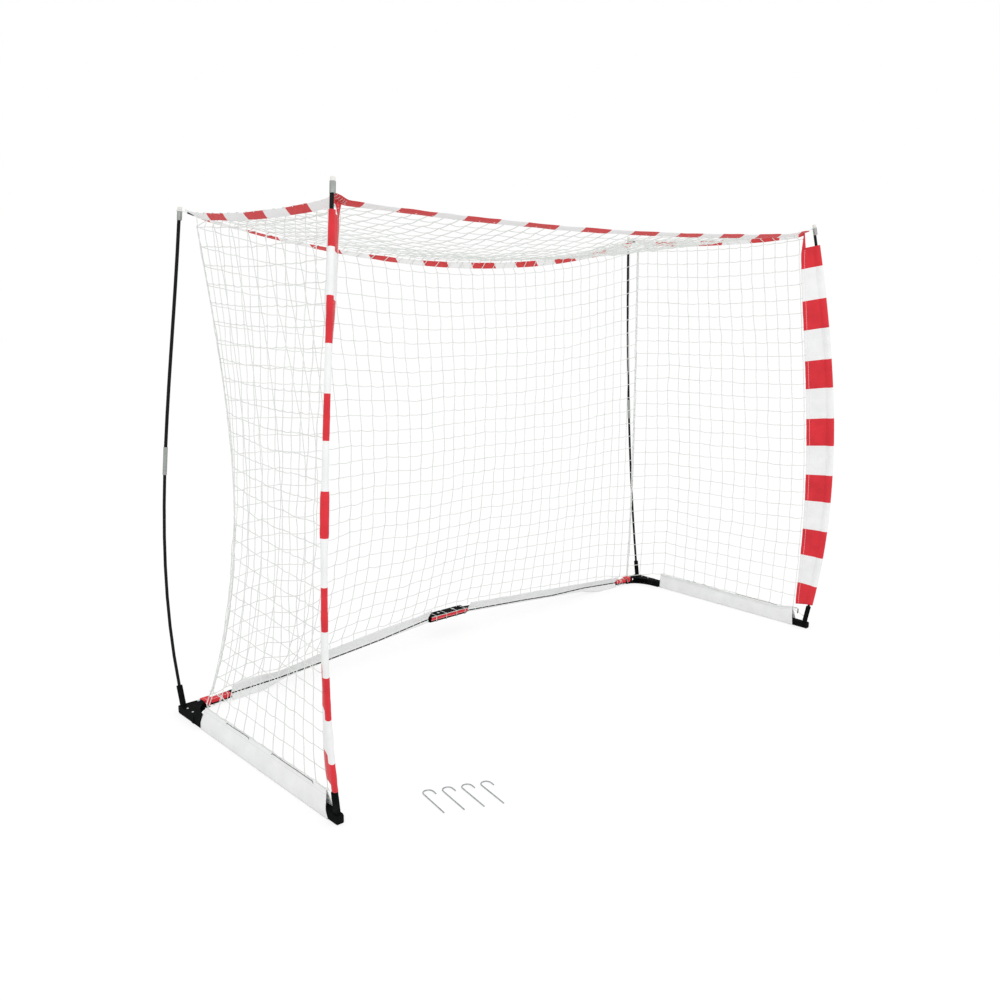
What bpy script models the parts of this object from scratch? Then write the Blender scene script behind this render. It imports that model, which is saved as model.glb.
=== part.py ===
"""Folding handball goal with sprung poles, striped sleeves, net and ground pegs.

Frame: +X to the right seen from the mouth, +Y to the rear, +Z up, metres. The model is made round the
middle of its four sockets, and the last step moves the middle of its footprint to the origin.
"""

import math

import bmesh
import bpy
from mathutils import Matrix, Vector

# Play between pieces that touch or slide
GAP = 0.0003
SLIDE_PLAY = 0.0005

# Base frame, square steel tube. What sits along a side bar is placed from the bar's own end
FRAME_WIDTH = 3.010
SIDE_BAR_LENGTH = 1.200
SIDE_BAR = 0.030
SIDE_BAR_WALL = 0.0015
END_CAP_HEAD = 0.006
END_CAP_PLUG = 0.018
END_CAP_CHAMFER = 0.003
REAR_BAR = 0.025
REAR_BAR_WALL = 0.0015
REAR_BAR_FROM_END = 0.012
REAR_BAR_BACK = 0.067
REAR_BAR_RISE = 0.075
REAR_BAR_FLAT_END = 0.085
REAR_BAR_PAST_PIN = 0.012

# Corner brackets: two plates with a concave inner edge and a web round the outer side of the side bar
PLATE = 0.002
BRACKET_LENGTH = 0.195
BRACKET_REACH = 0.130
BRACKET_NECK = 0.036
BRACKET_CURVE_START = 0.175
BRACKET_CURVE_END = 0.030
BRACKET_CURVE_STEPS = 6
WEB_FROM_END = 0.133
WEB_WIDTH = 0.020
RIVETS_FROM_END = (0.102, 0.054)
RIVET_HEAD_RADIUS = 0.005
RIVET_HEAD = 0.0022
RIVET_SHANK_RADIUS = 0.0025
PIN_RADIUS = 0.004
PIN_HEAD_RADIUS = 0.0075
PIN_HEAD = 0.0025
PIN_INSET = 0.085

# Centre bracket: two plates with a web along their front edge
CENTRE_PIN_SPACING = 0.100
CENTRE_BRACKET_HALF = 0.125
CENTRE_BRACKET_FRONT = 0.025
CENTRE_BRACKET_REAR = 0.032

# Sockets and poles. A lean is sideways per unit of height: outwards, then away from the middle of the depth
SOCKET_FROM_END = 0.014
SOCKET_LENGTH = 0.088
SOCKET_RADIUS = 0.0125
SOCKET_BORE_RADIUS = 0.0072
SOCKET_SIDES = 16
WELD_DEPTH = 0.0008
LOWER_POLE_RADIUS = 0.0065
UPPER_POLE_RADIUS = 0.0070
POLE_FOOT_GAP = 0.003
FRONT_TIP_HEIGHT = 2.119
FRONT_TIP_IN = 0.090
FRONT_TIP_BACK = 0.075
FRONT_FOOT_LEAN = (0.162, 0.105)
FRONT_TIP_LEAN = (-0.151, -0.155)
REAR_TIP_HEIGHT = 2.091
REAR_TIP_IN = 0.135
REAR_TIP_BACK = 0.060
REAR_FOOT_LEAN = (0.055, 0.194)
REAR_TIP_LEAN = (-0.089, -0.041)
POLE_STATIONS = 7
FERRULE_HEIGHT = 1.075
FERRULE_LENGTH = 0.115
FERRULE_RADIUS = 0.0088
SPIGOT_LENGTH = 0.045
TIP_LENGTH = 0.055
TIP_FERRULE_LENGTH = 0.040
TIP_RADIUS = 0.010
TIP_BORE_DEPTH = 0.030
TIP_CAP_RADIUS = 0.0075

# Striped sleeves on the front poles
SLEEVE_BOTTOM = 0.130
SLEEVE_BELOW_TIP = 0.104
SLEEVE_END_WIDTH = 0.075
SLEEVE_MIDDLE_WIDTH = 0.122
SLEEVE_CLOTH = 0.0012
SLEEVE_HEM = 0.0016
POCKET_PLAY = 0.0100
POCKET_SIDE_PLAY = 0.0035
POCKET_SEAM = 0.020
SLEEVE_STATIONS = 14

# How far the sleeve's panel turns in from straight back, in degrees, by share of its height
SLEEVE_TURNS = ((0.0, 9.0), (0.17, 23.0), (0.70, 34.0), (0.865, 42.0), (1.0, 48.0))

# Striped strips round the top of the net
STRIP_WIDTH = 0.032
STRIP_CLOTH = 0.0016
STRIP_STATIONS = 16
FRONT_STRAP_DROP = 0.067
FRONT_STRAP_IN = 0.037
FRONT_STRAP_BACK = 0.037
REAR_STRAP_DROP = 0.039
REAR_STRAP_IN = 0.020
REAR_STRAP_FORWARD = 0.061
STRIP_CORNER_GAP = 0.022
CROSSBAR_SAG = 0.034
CROSSBAR_PULL = 0.020
SIDE_STRIP_SAG = 0.026
REAR_STRIP_SAG = 0.158
REAR_STRIP_PULL = 0.060
CROSSBAR_LEAN = (0, -0.8, 0.6)
REAR_STRIP_LEAN = (0, -0.83, -0.56)
SIDE_STRIP_LEAN = (-0.52, 0, -0.85)
STRAP_REACH = 0.6

# Net: the lattice is drawn three meshes of cord to a gap
NET_CORD = 0.0040
NET_THICKNESS = 0.0030
NET_EDGE = 0.022
NET_SEAM = 0.006
SIDE_NET_GAPS = (5, 9)
BACK_NET_GAPS = (6, 8)
ROOF_NET_GAPS = (12, 4)
ROOF_NET_SAG = 0.035
CORNER_FOOT_IN = 0.113
CORNER_FOOT_FORWARD = 0.016
CORNER_FOOT_RISE = 0.023
CORNER_TOP_FORWARD = 0.033
CORNER_TOP_DROP = 0.042
CORNER_BOW = 0.088
CORNER_BOW_SKEW = 0.8

# Skirts and covers
SKIRT_CLOTH = 0.0016
SIDE_SKIRT_FRONT_FROM_END = 0.028
SIDE_SKIRT_REAR_FROM_END = 0.205
SIDE_SKIRT_HEIGHT = 0.086
SIDE_SKIRT_RIDGE_IN = 0.0085
SIDE_SKIRT_RIDGE = 0.0030
REAR_SKIRT_LEAN = 0.030
REAR_SKIRT_RISE = 0.055
SKIRT_FLOOR_GAP = 0.0015
SKIRT_END_GAP = 0.010
COVER_CLOTH = 0.0012
COVER_START = 0.049
COVER_STATIONS = 4
COVER_LENGTH = 0.105
CENTRE_COVER_HEIGHT = 0.022

# Straps from the pole tips to the strips' corners
STRAP_RADIUS = 0.0022
STRAP_WIDTH = 0.010
STRAP_POINTS = 7
STRAP_SAG = 0.006

# Ground pegs, bent from round wire and lying flat
PEG_WIRE_RADIUS = 0.0025
PEG_LEG = 0.150
PEG_BEND_RADIUS = 0.020
PEG_RETURN = 0.020
PEG_FIRST = (-1.197, -0.784)
PEG_STEP = (0.0665, -0.0300)
PEG_HEADING = math.radians(80.0)
PEG_COUNT = 4
PEG_BEND_POINTS = 8

# Colours, linear RGB, with roughness and metallic
BLACK_STEEL = ((0.012, 0.012, 0.013), 0.45, 0.0)
BLACK_PLASTIC = ((0.010, 0.010, 0.010), 0.60, 0.0)
BLACK_POLE = ((0.010, 0.010, 0.011), 0.40, 0.0)
ZINC = ((0.45, 0.46, 0.47), 0.40, 1.0)
FERRULE_GREY = ((0.30, 0.31, 0.32), 0.45, 0.6)
RED_CLOTH = ((0.62, 0.02, 0.02), 0.75, 0.0)
WHITE_CLOTH = ((0.80, 0.80, 0.80), 0.75, 0.0)
NET_CORD_WHITE = ((0.78, 0.79, 0.78), 0.80, 0.0)

# Places that several pieces share
SIDE_BAR_X = FRAME_WIDTH / 2
BAR_BOTTOM = PLATE + GAP
BAR_MIDDLE = BAR_BOTTOM + SIDE_BAR / 2
BAR_TOP = BAR_BOTTOM + SIDE_BAR
PLATE_TOP = BAR_TOP + GAP + PLATE
BAR_OUTER_X = SIDE_BAR_X + SIDE_BAR / 2
BAR_END_Y = SIDE_BAR_LENGTH / 2
BRACKET_FRONT_Y = BAR_END_Y - BRACKET_LENGTH
RIVET_Y = [BAR_END_Y - distance for distance in RIVETS_FROM_END]
REAR_BAR_Y = BAR_END_Y - REAR_BAR_FROM_END
SIDE_SKIRT_ENDS = (SIDE_SKIRT_FRONT_FROM_END - BAR_END_Y, BAR_END_Y - SIDE_SKIRT_REAR_FROM_END)
CORNER_PIN_X = BAR_OUTER_X - PIN_INSET
CENTRE_PIN_X = CENTRE_PIN_SPACING / 2
CENTRE_HEIGHT = BAR_MIDDLE + REAR_BAR_RISE
CENTRE_Y = REAR_BAR_Y + REAR_BAR_BACK
REAR_HALF = math.hypot(CORNER_PIN_X - CENTRE_PIN_X, REAR_BAR_BACK)
REAR_KINK = math.atan2(REAR_BAR_BACK, CORNER_PIN_X - CENTRE_PIN_X)
SOCKET_Y = BAR_END_Y - SOCKET_FROM_END
SIDES = {"left": -1, "right": 1}


def clear_scene():
    for thing in list(bpy.data.objects):
        bpy.data.objects.remove(thing, do_unlink=True)


def material(name, look):
    colour, roughness, metallic = look
    made = bpy.data.materials.new(name)
    made.use_nodes = True
    shader = made.node_tree.nodes["Principled BSDF"]
    shader.inputs["Base Color"].default_value = (*colour, 1.0)
    shader.inputs["Roughness"].default_value = roughness
    shader.inputs["Metallic"].default_value = metallic
    made.diffuse_color = (*colour, 1.0)
    return made


def finish(bm, name, look, origin=(0, 0, 0), smooth=False):
    """Turns the bmesh into an object whose origin is at the given point."""
    bmesh.ops.recalc_face_normals(bm, faces=bm.faces[:])
    bmesh.ops.translate(bm, verts=bm.verts[:], vec=-Vector(origin))
    mesh = bpy.data.meshes.new(name)
    bm.to_mesh(mesh)
    bm.free()
    mesh.materials.append(material(name, look))
    if smooth:
        mesh.shade_smooth()
        mesh.set_sharp_from_angle(angle=math.radians(40))
    made = bpy.data.objects.new(name, mesh)
    made.location = origin
    bpy.context.scene.collection.objects.link(made)
    return made


def tube(name, points, radius, look, detail=3, origin=None):
    """A round bar along the points, as a bevelled curve with filled ends."""
    origin = Vector(origin if origin is not None else points[0])
    curve = bpy.data.curves.new(name, "CURVE")
    curve.dimensions = "3D"
    curve.bevel_depth = radius
    curve.bevel_resolution = detail
    curve.use_fill_caps = True
    spline = curve.splines.new("POLY")
    spline.points.add(len(points) - 1)
    for node, place in zip(spline.points, points):
        node.co = (*(Vector(place) - origin), 1.0)
    curve.materials.append(material(name, look))
    made = bpy.data.objects.new(name, curve)
    made.location = origin
    bpy.context.scene.collection.objects.link(made)
    return made


def ring(bm, places):
    """A closed loop of edges, as its vertices in order."""
    verts = [bm.verts.new(place) for place in places]
    for start, end in zip(verts, verts[1:] + verts[:1]):
        bm.edges.new((start, end))
    return verts


def edges_of(bm, loop):
    return [bm.edges.get(pair) for pair in zip(loop, loop[1:] + loop[:1])]


def grow(bm, loop, places):
    """Extrudes a loop of edges and moves the new loop to the places."""
    made = bmesh.ops.extrude_edge_only(bm, edges=edges_of(bm, loop))["geom"]
    fresh = {item for item in made if isinstance(item, bmesh.types.BMVert)}
    grown = []
    for vert, place in zip(loop, places):
        twin = next(e.other_vert(vert) for e in vert.link_edges if e.other_vert(vert) in fresh)
        twin.co = place
        grown.append(twin)
    return grown


def solid_loft(bm, sections):
    """A solid through the sections, each a list of as many places."""
    first = ring(bm, sections[0])
    last = first
    for places in sections[1:]:
        last = grow(bm, last, places)
    bmesh.ops.contextual_create(bm, geom=edges_of(bm, first))
    bmesh.ops.contextual_create(bm, geom=edges_of(bm, last))


def hollow_loft(bm, outer, inner):
    """A tube through outer and inner sections, open at both ends."""
    first = ring(bm, outer[0])
    last = first
    for places in outer[1:] + inner[::-1]:
        last = grow(bm, last, places)
    for near, far in zip(edges_of(bm, first), edges_of(bm, last)):
        bmesh.ops.contextual_create(bm, geom=[near, far])


def box(bm, low, high):
    """A box between two corners."""
    low, high = Vector(low), Vector(high)
    middle = Matrix.Translation((low + high) / 2)
    size = Matrix.Diagonal((*(high - low), 1.0))
    bmesh.ops.create_cube(bm, size=1.0, matrix=middle @ size)


def between(a, b, share):
    return a + (b - a) * share


def shape(piece, other, operation):
    """Joins the other shape to the piece or cuts it out. The other shape is only a guide."""
    other.hide_render = True
    other.display_type = "WIRE"
    other.hide_set(True)
    boolean = piece.modifiers.new(other.name, "BOOLEAN")
    boolean.operation = operation
    boolean.solver = "EXACT"
    boolean.object = other


def chamfered(width, low, high, chamfer):
    """Corners of an upright rectangle with its own corners cut off, as pairs of sideways and height."""
    half = width / 2
    return [
        (half, high - chamfer),
        (half - chamfer, high),
        (chamfer - half, high),
        (-half, high - chamfer),
        (-half, low + chamfer),
        (chamfer - half, low),
        (half - chamfer, low),
        (half, low + chamfer),
    ]


def plain_square(width):
    half = width / 2
    return [(half, half), (-half, half), (-half, -half), (half, -half)]


# Base frame

def socket(bm, side, end, weld):
    """A round tube whose foot is mitred to the level it stands on, and sunk into it by the weld's depth."""
    pole = Pole(side, end)
    turn = Vector((0, 0, 1)).rotation_difference(pole.axis).to_matrix()
    walls = []
    for radius in (SOCKET_RADIUS, SOCKET_BORE_RADIUS):
        around = [turn @ place for place in circle((0, 0, 0), radius, SOCKET_SIDES)]
        foot = [pole.base + place - pole.axis * ((place.z + weld) / pole.axis.z) for place in around]
        walls.append([foot, [pole.mouth + place for place in around]])
    hollow_loft(bm, *walls)


def side_bar(side, name):
    """Square tube along the ground, with the front socket welded on top and holes for the rivets."""
    bm = bmesh.new()
    x = side * SIDE_BAR_X
    bore = SIDE_BAR - 2 * SIDE_BAR_WALL
    outer, inner = [], []
    for y in (-BAR_END_Y, BAR_END_Y):
        outer.append([Vector((x + a, y, BAR_MIDDLE + b)) for a, b in plain_square(SIDE_BAR)])
        inner.append([Vector((x + a, y, BAR_MIDDLE + b)) for a, b in plain_square(bore)])
    hollow_loft(bm, outer, inner)
    bar = finish(bm, name, BLACK_STEEL, origin=(x, 0, BAR_MIDDLE))
    holes = bmesh.new()
    for y in RIVET_Y:
        upright_cylinder(holes, (x, y), RIVET_SHANK_RADIUS + GAP, 0.0, PLATE_TOP, 10)
    shape(bar, finish(holes, name + "_rivet_holes", BLACK_STEEL), "DIFFERENCE")
    tube_on_top = bmesh.new()
    socket(tube_on_top, side, -1, WELD_DEPTH)
    shape(bar, finish(tube_on_top, name + "_socket", BLACK_STEEL), "UNION")


def upright_cylinder(bm, centre, radius, low, high, segments):
    place = Matrix.Translation((centre[0], centre[1], (low + high) / 2))
    bmesh.ops.create_cone(
        bm, cap_ends=True, segments=segments, radius1=radius, radius2=radius, depth=high - low, matrix=place
    )


def end_cap(side, end, name):
    """Plastic cap: a head outside the tube's end, down to the ground, and a plug inside it."""
    bm = bmesh.new()
    x = side * SIDE_BAR_X
    plug = SIDE_BAR - 2 * SIDE_BAR_WALL - 2 * GAP
    inside = (plug, BAR_MIDDLE - plug / 2, BAR_MIDDLE + plug / 2)
    head = (SIDE_BAR, 0.0, BAR_TOP)
    rim = (SIDE_BAR * 0.86, BAR_BOTTOM, BAR_TOP - BAR_BOTTOM)
    face = end * (BAR_END_Y + GAP)
    stages = [(face - end * END_CAP_PLUG, inside), (face, inside), (face, head)]
    stages += [(face + end * END_CAP_HEAD * 0.6, head), (face + end * END_CAP_HEAD, rim)]
    sections = []
    for y, (width, low, high) in stages:
        corners = chamfered(width, low, high, END_CAP_CHAMFER)
        sections.append([Vector((x + a, y, z)) for a, z in corners])
    solid_loft(bm, sections)
    finish(bm, name, BLACK_PLASTIC, origin=(x, face, BAR_MIDDLE))


def bracket_outline(side):
    """Plan of the corner bracket, counted inwards from the side bar's outer face."""
    points = [(0.0, BRACKET_FRONT_Y), (0.0, BAR_END_Y), (BRACKET_REACH, BAR_END_Y)]
    start = BAR_END_Y - BRACKET_CURVE_START
    width = BRACKET_REACH - BRACKET_NECK
    height = BRACKET_CURVE_START - BRACKET_CURVE_END
    for step in range(BRACKET_CURVE_STEPS + 1):
        angle = math.pi / 2 * (1 + step / BRACKET_CURVE_STEPS)
        points.append((BRACKET_REACH + width * math.cos(angle), start + height * math.sin(angle)))
    points.append((BRACKET_NECK, BRACKET_FRONT_Y))
    return [(side * (BAR_OUTER_X - inward), y) for inward, y in points]


def corner_bracket(side, name):
    """Top and bottom plate, joined by the web round the bar, with the rear socket welded on top."""
    outline = bracket_outline(side)
    bm = bmesh.new()
    for low in (0.0, BAR_TOP + GAP):
        solid_loft(bm, [[Vector((x, y, z)) for x, y in outline] for z in (low, low + PLATE)])
    bracket = finish(bm, name, BLACK_STEEL, origin=(side * CORNER_PIN_X, REAR_BAR_Y, 0))
    near = BAR_OUTER_X + GAP
    far = near + PLATE
    root = BAR_OUTER_X - PLATE
    profile = [(root, 0.0), (far, 0.0), (far, PLATE_TOP), (root, PLATE_TOP)]
    profile += [(root, PLATE_TOP - PLATE), (near, PLATE_TOP - PLATE), (near, PLATE), (root, PLATE)]
    added = bmesh.new()
    middle = BAR_END_Y - WEB_FROM_END
    ends = (middle - WEB_WIDTH / 2, middle + WEB_WIDTH / 2)
    solid_loft(added, [[Vector((side * x, y, z)) for x, z in profile] for y in ends])
    socket(added, side, 1, WELD_DEPTH)
    shape(bracket, finish(added, name + "_web_and_socket", BLACK_STEEL), "UNION")
    holes = bmesh.new()
    low, high = -PLATE, PLATE_TOP + PLATE
    for y in RIVET_Y:
        upright_cylinder(holes, (side * SIDE_BAR_X, y), RIVET_SHANK_RADIUS + GAP, low, high, 10)
    upright_cylinder(holes, (side * CORNER_PIN_X, REAR_BAR_Y), PIN_RADIUS + GAP, low, high, 16)
    shape(bracket, finish(holes, name + "_holes", BLACK_STEEL), "DIFFERENCE")


def rivet(side, y, name):
    """Flush underneath, with a domed head on the top plate."""
    bm = bmesh.new()
    high = PLATE_TOP + GAP
    stages = [(GAP, RIVET_SHANK_RADIUS), (high, RIVET_SHANK_RADIUS), (high, RIVET_HEAD_RADIUS)]
    stages.append((high + RIVET_HEAD * 0.5, RIVET_HEAD_RADIUS * 0.9))
    stages.append((high + RIVET_HEAD, RIVET_HEAD_RADIUS * 0.5))
    solid_loft(bm, [circle((side * SIDE_BAR_X, y, z), radius, 10) for z, radius in stages])
    finish(bm, name, ZINC, origin=(side * SIDE_BAR_X, y, 0), smooth=True)


def circle(centre, radius, count):
    """Places round an upright circle."""
    cx, cy, cz = centre
    turn = 2 * math.pi / count
    return [
        Vector((cx + radius * math.cos(turn * i), cy + radius * math.sin(turn * i), cz))
        for i in range(count)
    ]


def pivot_pin(name, x, y, low, high, foot_head):
    """A pivot pin with a head on top and, where there is room, one below."""
    stages = [(low + GAP, PIN_RADIUS)]
    if foot_head:
        seat = low - GAP
        stages = [(seat - PIN_HEAD, PIN_HEAD_RADIUS), (seat, PIN_HEAD_RADIUS), (seat, PIN_RADIUS)]
    seat = high + GAP
    stages += [(seat, PIN_RADIUS), (seat, PIN_HEAD_RADIUS), (seat + PIN_HEAD, PIN_HEAD_RADIUS)]
    bm = bmesh.new()
    solid_loft(bm, [circle((x, y, z), radius, 16) for z, radius in stages])
    finish(bm, name, ZINC, origin=(x, y, low), smooth=True)


def bar_rise(reach):
    """Height of the rear bar over its ends at the corner, at a distance from the corner pin."""
    slope = REAR_HALF - 2 * REAR_BAR_FLAT_END
    return REAR_BAR_RISE * min(max((reach - REAR_BAR_FLAT_END) / slope, 0.0), 1.0)


def by_bar(side, reach, across, up):
    """A place by half of the rear bar: distance from the corner pin, then offsets to the rear and up."""
    along = Vector((-side * math.cos(REAR_KINK), math.sin(REAR_KINK), 0))
    back = Vector((side * math.sin(REAR_KINK), math.cos(REAR_KINK), 0))
    corner = Vector((side * CORNER_PIN_X, REAR_BAR_Y, BAR_MIDDLE + bar_rise(reach) + up))
    return corner + along * reach + back * across


def over_bar(x, up):
    """A place straight above the rear bar's centre line."""
    share = min((CORNER_PIN_X - abs(x)) / (CORNER_PIN_X - CENTRE_PIN_X), 1.0)
    return Vector((x, REAR_BAR_Y + REAR_BAR_BACK * share, BAR_MIDDLE + bar_rise(REAR_HALF * share) + up))


def rear_bar(side, name):
    """Half of the rear bar, sloping up to the centre, with a hole at each end for its pin."""
    reaches = [-REAR_BAR_PAST_PIN, REAR_BAR_FLAT_END]
    reaches += [REAR_HALF - REAR_BAR_FLAT_END, REAR_HALF + REAR_BAR_PAST_PIN]
    bore = REAR_BAR - 2 * REAR_BAR_WALL
    outer, inner = [], []
    for reach in reaches:
        outer.append([by_bar(side, reach, a, b) for a, b in plain_square(REAR_BAR)])
        inner.append([by_bar(side, reach, a, b) for a, b in plain_square(bore)])
    bm = bmesh.new()
    hollow_loft(bm, outer, inner)
    bar = finish(bm, name, BLACK_STEEL, origin=(side * CORNER_PIN_X, REAR_BAR_Y, BAR_MIDDLE))
    holes = bmesh.new()
    for reach in (0.0, REAR_HALF):
        middle = by_bar(side, reach, 0, 0)
        upright_cylinder(holes, middle, PIN_RADIUS + GAP, middle.z - REAR_BAR, middle.z + REAR_BAR, 16)
    shape(bar, finish(holes, name + "_pin_holes", BLACK_STEEL), "DIFFERENCE")


def centre_bracket_levels():
    """Undersides of the lower plate and top of the upper plate."""
    reach = REAR_BAR / 2 + GAP + PLATE
    return CENTRE_HEIGHT - reach, CENTRE_HEIGHT + reach


def centre_bracket(name):
    """Channel that joins the rear bar's halves, open to the rear where they swing out."""
    low, high = centre_bracket_levels()
    front = CENTRE_Y - CENTRE_BRACKET_FRONT
    rear = CENTRE_Y + CENTRE_BRACKET_REAR
    profile = [(front, low), (rear, low), (rear, low + PLATE), (front + PLATE, low + PLATE)]
    profile += [(front + PLATE, high - PLATE), (rear, high - PLATE), (rear, high), (front, high)]
    bm = bmesh.new()
    ends = (-CENTRE_BRACKET_HALF, CENTRE_BRACKET_HALF)
    solid_loft(bm, [[Vector((x, y, z)) for y, z in profile] for x in ends])
    bracket = finish(bm, name, BLACK_STEEL, origin=(0, CENTRE_Y, CENTRE_HEIGHT))
    holes = bmesh.new()
    for x in (-CENTRE_PIN_X, CENTRE_PIN_X):
        upright_cylinder(holes, (x, CENTRE_Y), PIN_RADIUS + GAP, low - PLATE, high + PLATE, 16)
    shape(bracket, finish(holes, name + "_holes", BLACK_STEEL), "DIFFERENCE")


# Poles

class Pole:
    """One pole's shape: straight in its socket, at its ferrule and in its tip, and bowed between."""

    def __init__(self, side, end):
        front = end < 0
        foot_lean = FRONT_FOOT_LEAN if front else REAR_FOOT_LEAN
        tip_lean = FRONT_TIP_LEAN if front else REAR_TIP_LEAN
        tip_in = FRONT_TIP_IN if front else REAR_TIP_IN
        tip_y = -SOCKET_Y + FRONT_TIP_BACK if front else SOCKET_Y + REAR_TIP_BACK
        tip_height = FRONT_TIP_HEIGHT if front else REAR_TIP_HEIGHT
        self.side = side
        self.seat = BAR_TOP + GAP if front else PLATE_TOP + GAP
        self.base = Vector((side * SIDE_BAR_X, end * SOCKET_Y, self.seat))
        self.foot_slope = Vector((side * foot_lean[0], end * foot_lean[1], 1.0))
        self.tip_slope = Vector((side * tip_lean[0], end * tip_lean[1], 1.0))
        self.axis = self.foot_slope.normalized()
        self.tip_axis = self.tip_slope.normalized()
        self.tip = Vector((side * (SIDE_BAR_X - tip_in), tip_y, tip_height))
        self.mouth = self.base + self.axis * SOCKET_LENGTH
        self.neck = self.tip - self.tip_axis * TIP_LENGTH
        self.ferrule_low = self.curve(FERRULE_HEIGHT - FERRULE_LENGTH / 2)
        self.ferrule_high = self.curve(FERRULE_HEIGHT + FERRULE_LENGTH / 2)
        self.ferrule_axis = (self.ferrule_high - self.ferrule_low).normalized()

    def curve(self, height):
        """The bowed stretch between socket and tip, as a cubic that is even in height."""
        rise = self.neck.z - self.mouth.z
        t = (height - self.mouth.z) / rise
        return (
            self.mouth * (2 * t**3 - 3 * t**2 + 1)
            + self.foot_slope * rise * (t**3 - 2 * t**2 + t)
            + self.neck * (3 * t**2 - 2 * t**3)
            + self.tip_slope * rise * (t**3 - t**2)
        )

    def at(self, height):
        """Centre of the pole at any height."""
        if height <= self.mouth.z:
            return self.base + self.foot_slope * (height - self.base.z)
        if height >= self.neck.z:
            return self.neck + self.tip_slope * (height - self.neck.z)
        if self.ferrule_low.z < height < self.ferrule_high.z:
            share = (height - self.ferrule_low.z) / (self.ferrule_high.z - self.ferrule_low.z)
            return self.ferrule_low.lerp(self.ferrule_high, share)
        return self.curve(height)

    def lower_points(self):
        points = [self.base + self.axis * POLE_FOOT_GAP, self.mouth]
        for step in range(1, POLE_STATIONS):
            points.append(self.at(between(self.mouth.z, self.ferrule_low.z, step / POLE_STATIONS)))
        points.append(self.ferrule_low)
        points.append(self.ferrule_high - self.ferrule_axis * (SPIGOT_LENGTH + SLIDE_PLAY))
        return points

    def upper_points(self):
        points = [self.ferrule_high - self.ferrule_axis * SPIGOT_LENGTH, self.ferrule_high]
        for step in range(1, POLE_STATIONS):
            points.append(self.at(between(self.ferrule_high.z, self.neck.z, step / POLE_STATIONS)))
        points.append(self.neck)
        points.append(self.neck + self.tip_axis * (TIP_BORE_DEPTH - SLIDE_PLAY))
        return points


def turned(bm, profile, start, axis, segments):
    """Spins a profile of (radius, distance) pairs round an axis from a start point."""
    verts = [bm.verts.new((radius, 0.0, along)) for radius, along in profile]
    pairs = list(zip(verts, verts[1:]))
    if profile[0][0] > 0.0:
        pairs.append((verts[-1], verts[0]))
    edges = [bm.edges.new(pair) for pair in pairs]
    bmesh.ops.spin(
        bm,
        geom=verts + edges,
        cent=(0, 0, 0),
        axis=(0, 0, 1),
        angle=2 * math.pi,
        steps=segments,
        use_merge=True,
        use_duplicate=False,
    )
    bmesh.ops.remove_doubles(bm, verts=bm.verts[:], dist=1e-6)
    bmesh.ops.dissolve_degenerate(bm, edges=bm.edges[:], dist=1e-6)
    turn = Vector((0, 0, 1)).rotation_difference(axis).to_matrix().to_4x4()
    bmesh.ops.transform(bm, matrix=Matrix.Translation(start) @ turn, verts=bm.verts[:])


def poles(side, end, tag):
    """Lower section, mid ferrule, upper section and tip of one pole."""
    pole = Pole(side, end)
    tube("lower_pole_" + tag, pole.lower_points(), LOWER_POLE_RADIUS, BLACK_POLE, detail=4)
    bm = bmesh.new()
    wide, narrow = UPPER_POLE_RADIUS + SLIDE_PLAY, LOWER_POLE_RADIUS + SLIDE_PLAY
    step = FERRULE_LENGTH - SPIGOT_LENGTH - SLIDE_PLAY
    profile = [
        (narrow, 0.0),
        (FERRULE_RADIUS - SLIDE_PLAY, 0.0),
        (FERRULE_RADIUS, FERRULE_LENGTH * 0.02),
        (FERRULE_RADIUS, FERRULE_LENGTH * 0.98),
        (FERRULE_RADIUS - SLIDE_PLAY, FERRULE_LENGTH),
        (wide, FERRULE_LENGTH),
        (wide, step),
        (narrow, step),
    ]
    turned(bm, profile, pole.ferrule_low, pole.ferrule_axis, 14)
    finish(bm, "mid_ferrule_" + tag, FERRULE_GREY, origin=pole.ferrule_low, smooth=True)
    tube("upper_pole_" + tag, pole.upper_points(), UPPER_POLE_RADIUS, BLACK_POLE, detail=4)
    bm = bmesh.new()
    edge = TIP_CAP_RADIUS * 0.2
    profile = [
        (0.0, TIP_BORE_DEPTH),
        (UPPER_POLE_RADIUS + SLIDE_PLAY, TIP_BORE_DEPTH),
        (UPPER_POLE_RADIUS + SLIDE_PLAY, 0.0),
        (TIP_RADIUS, 0.0),
        (TIP_RADIUS, TIP_FERRULE_LENGTH),
        (TIP_CAP_RADIUS, TIP_FERRULE_LENGTH),
        (TIP_CAP_RADIUS, TIP_LENGTH - edge),
        (TIP_CAP_RADIUS - edge, TIP_LENGTH),
        (0.0, TIP_LENGTH),
    ]
    turned(bm, profile, pole.neck, pole.tip_axis, 14)
    finish(bm, "pole_tip_" + tag, FERRULE_GREY, origin=pole.neck, smooth=True)


# Sleeves

def sleeve_top():
    return FRONT_TIP_HEIGHT - SLEEVE_BELOW_TIP


def sleeve_share(height):
    return (height - SLEEVE_BOTTOM) / (sleeve_top() - SLEEVE_BOTTOM)


def sleeve_width(height):
    """Distance from pole to inner edge, widest in the middle."""
    share = min(max(sleeve_share(height), 0.0), 1.0)
    return between(SLEEVE_END_WIDTH, SLEEVE_MIDDLE_WIDTH, math.sin(math.pi * share) ** 0.6)


def sleeve_directions(side, height):
    """Inwards along the panel, and across it. The panel twists on its way up."""
    share = min(max(sleeve_share(height), 0.0), 1.0)
    for (low, first), (high, last) in zip(SLEEVE_TURNS, SLEEVE_TURNS[1:]):
        if share <= high:
            turn = math.radians(between(first, last, (share - low) / (high - low)))
            break
    inward = Vector((-side * math.sin(turn), math.cos(turn), 0))
    across = Vector((side * math.cos(turn), math.sin(turn), 0))
    return inward, across


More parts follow.
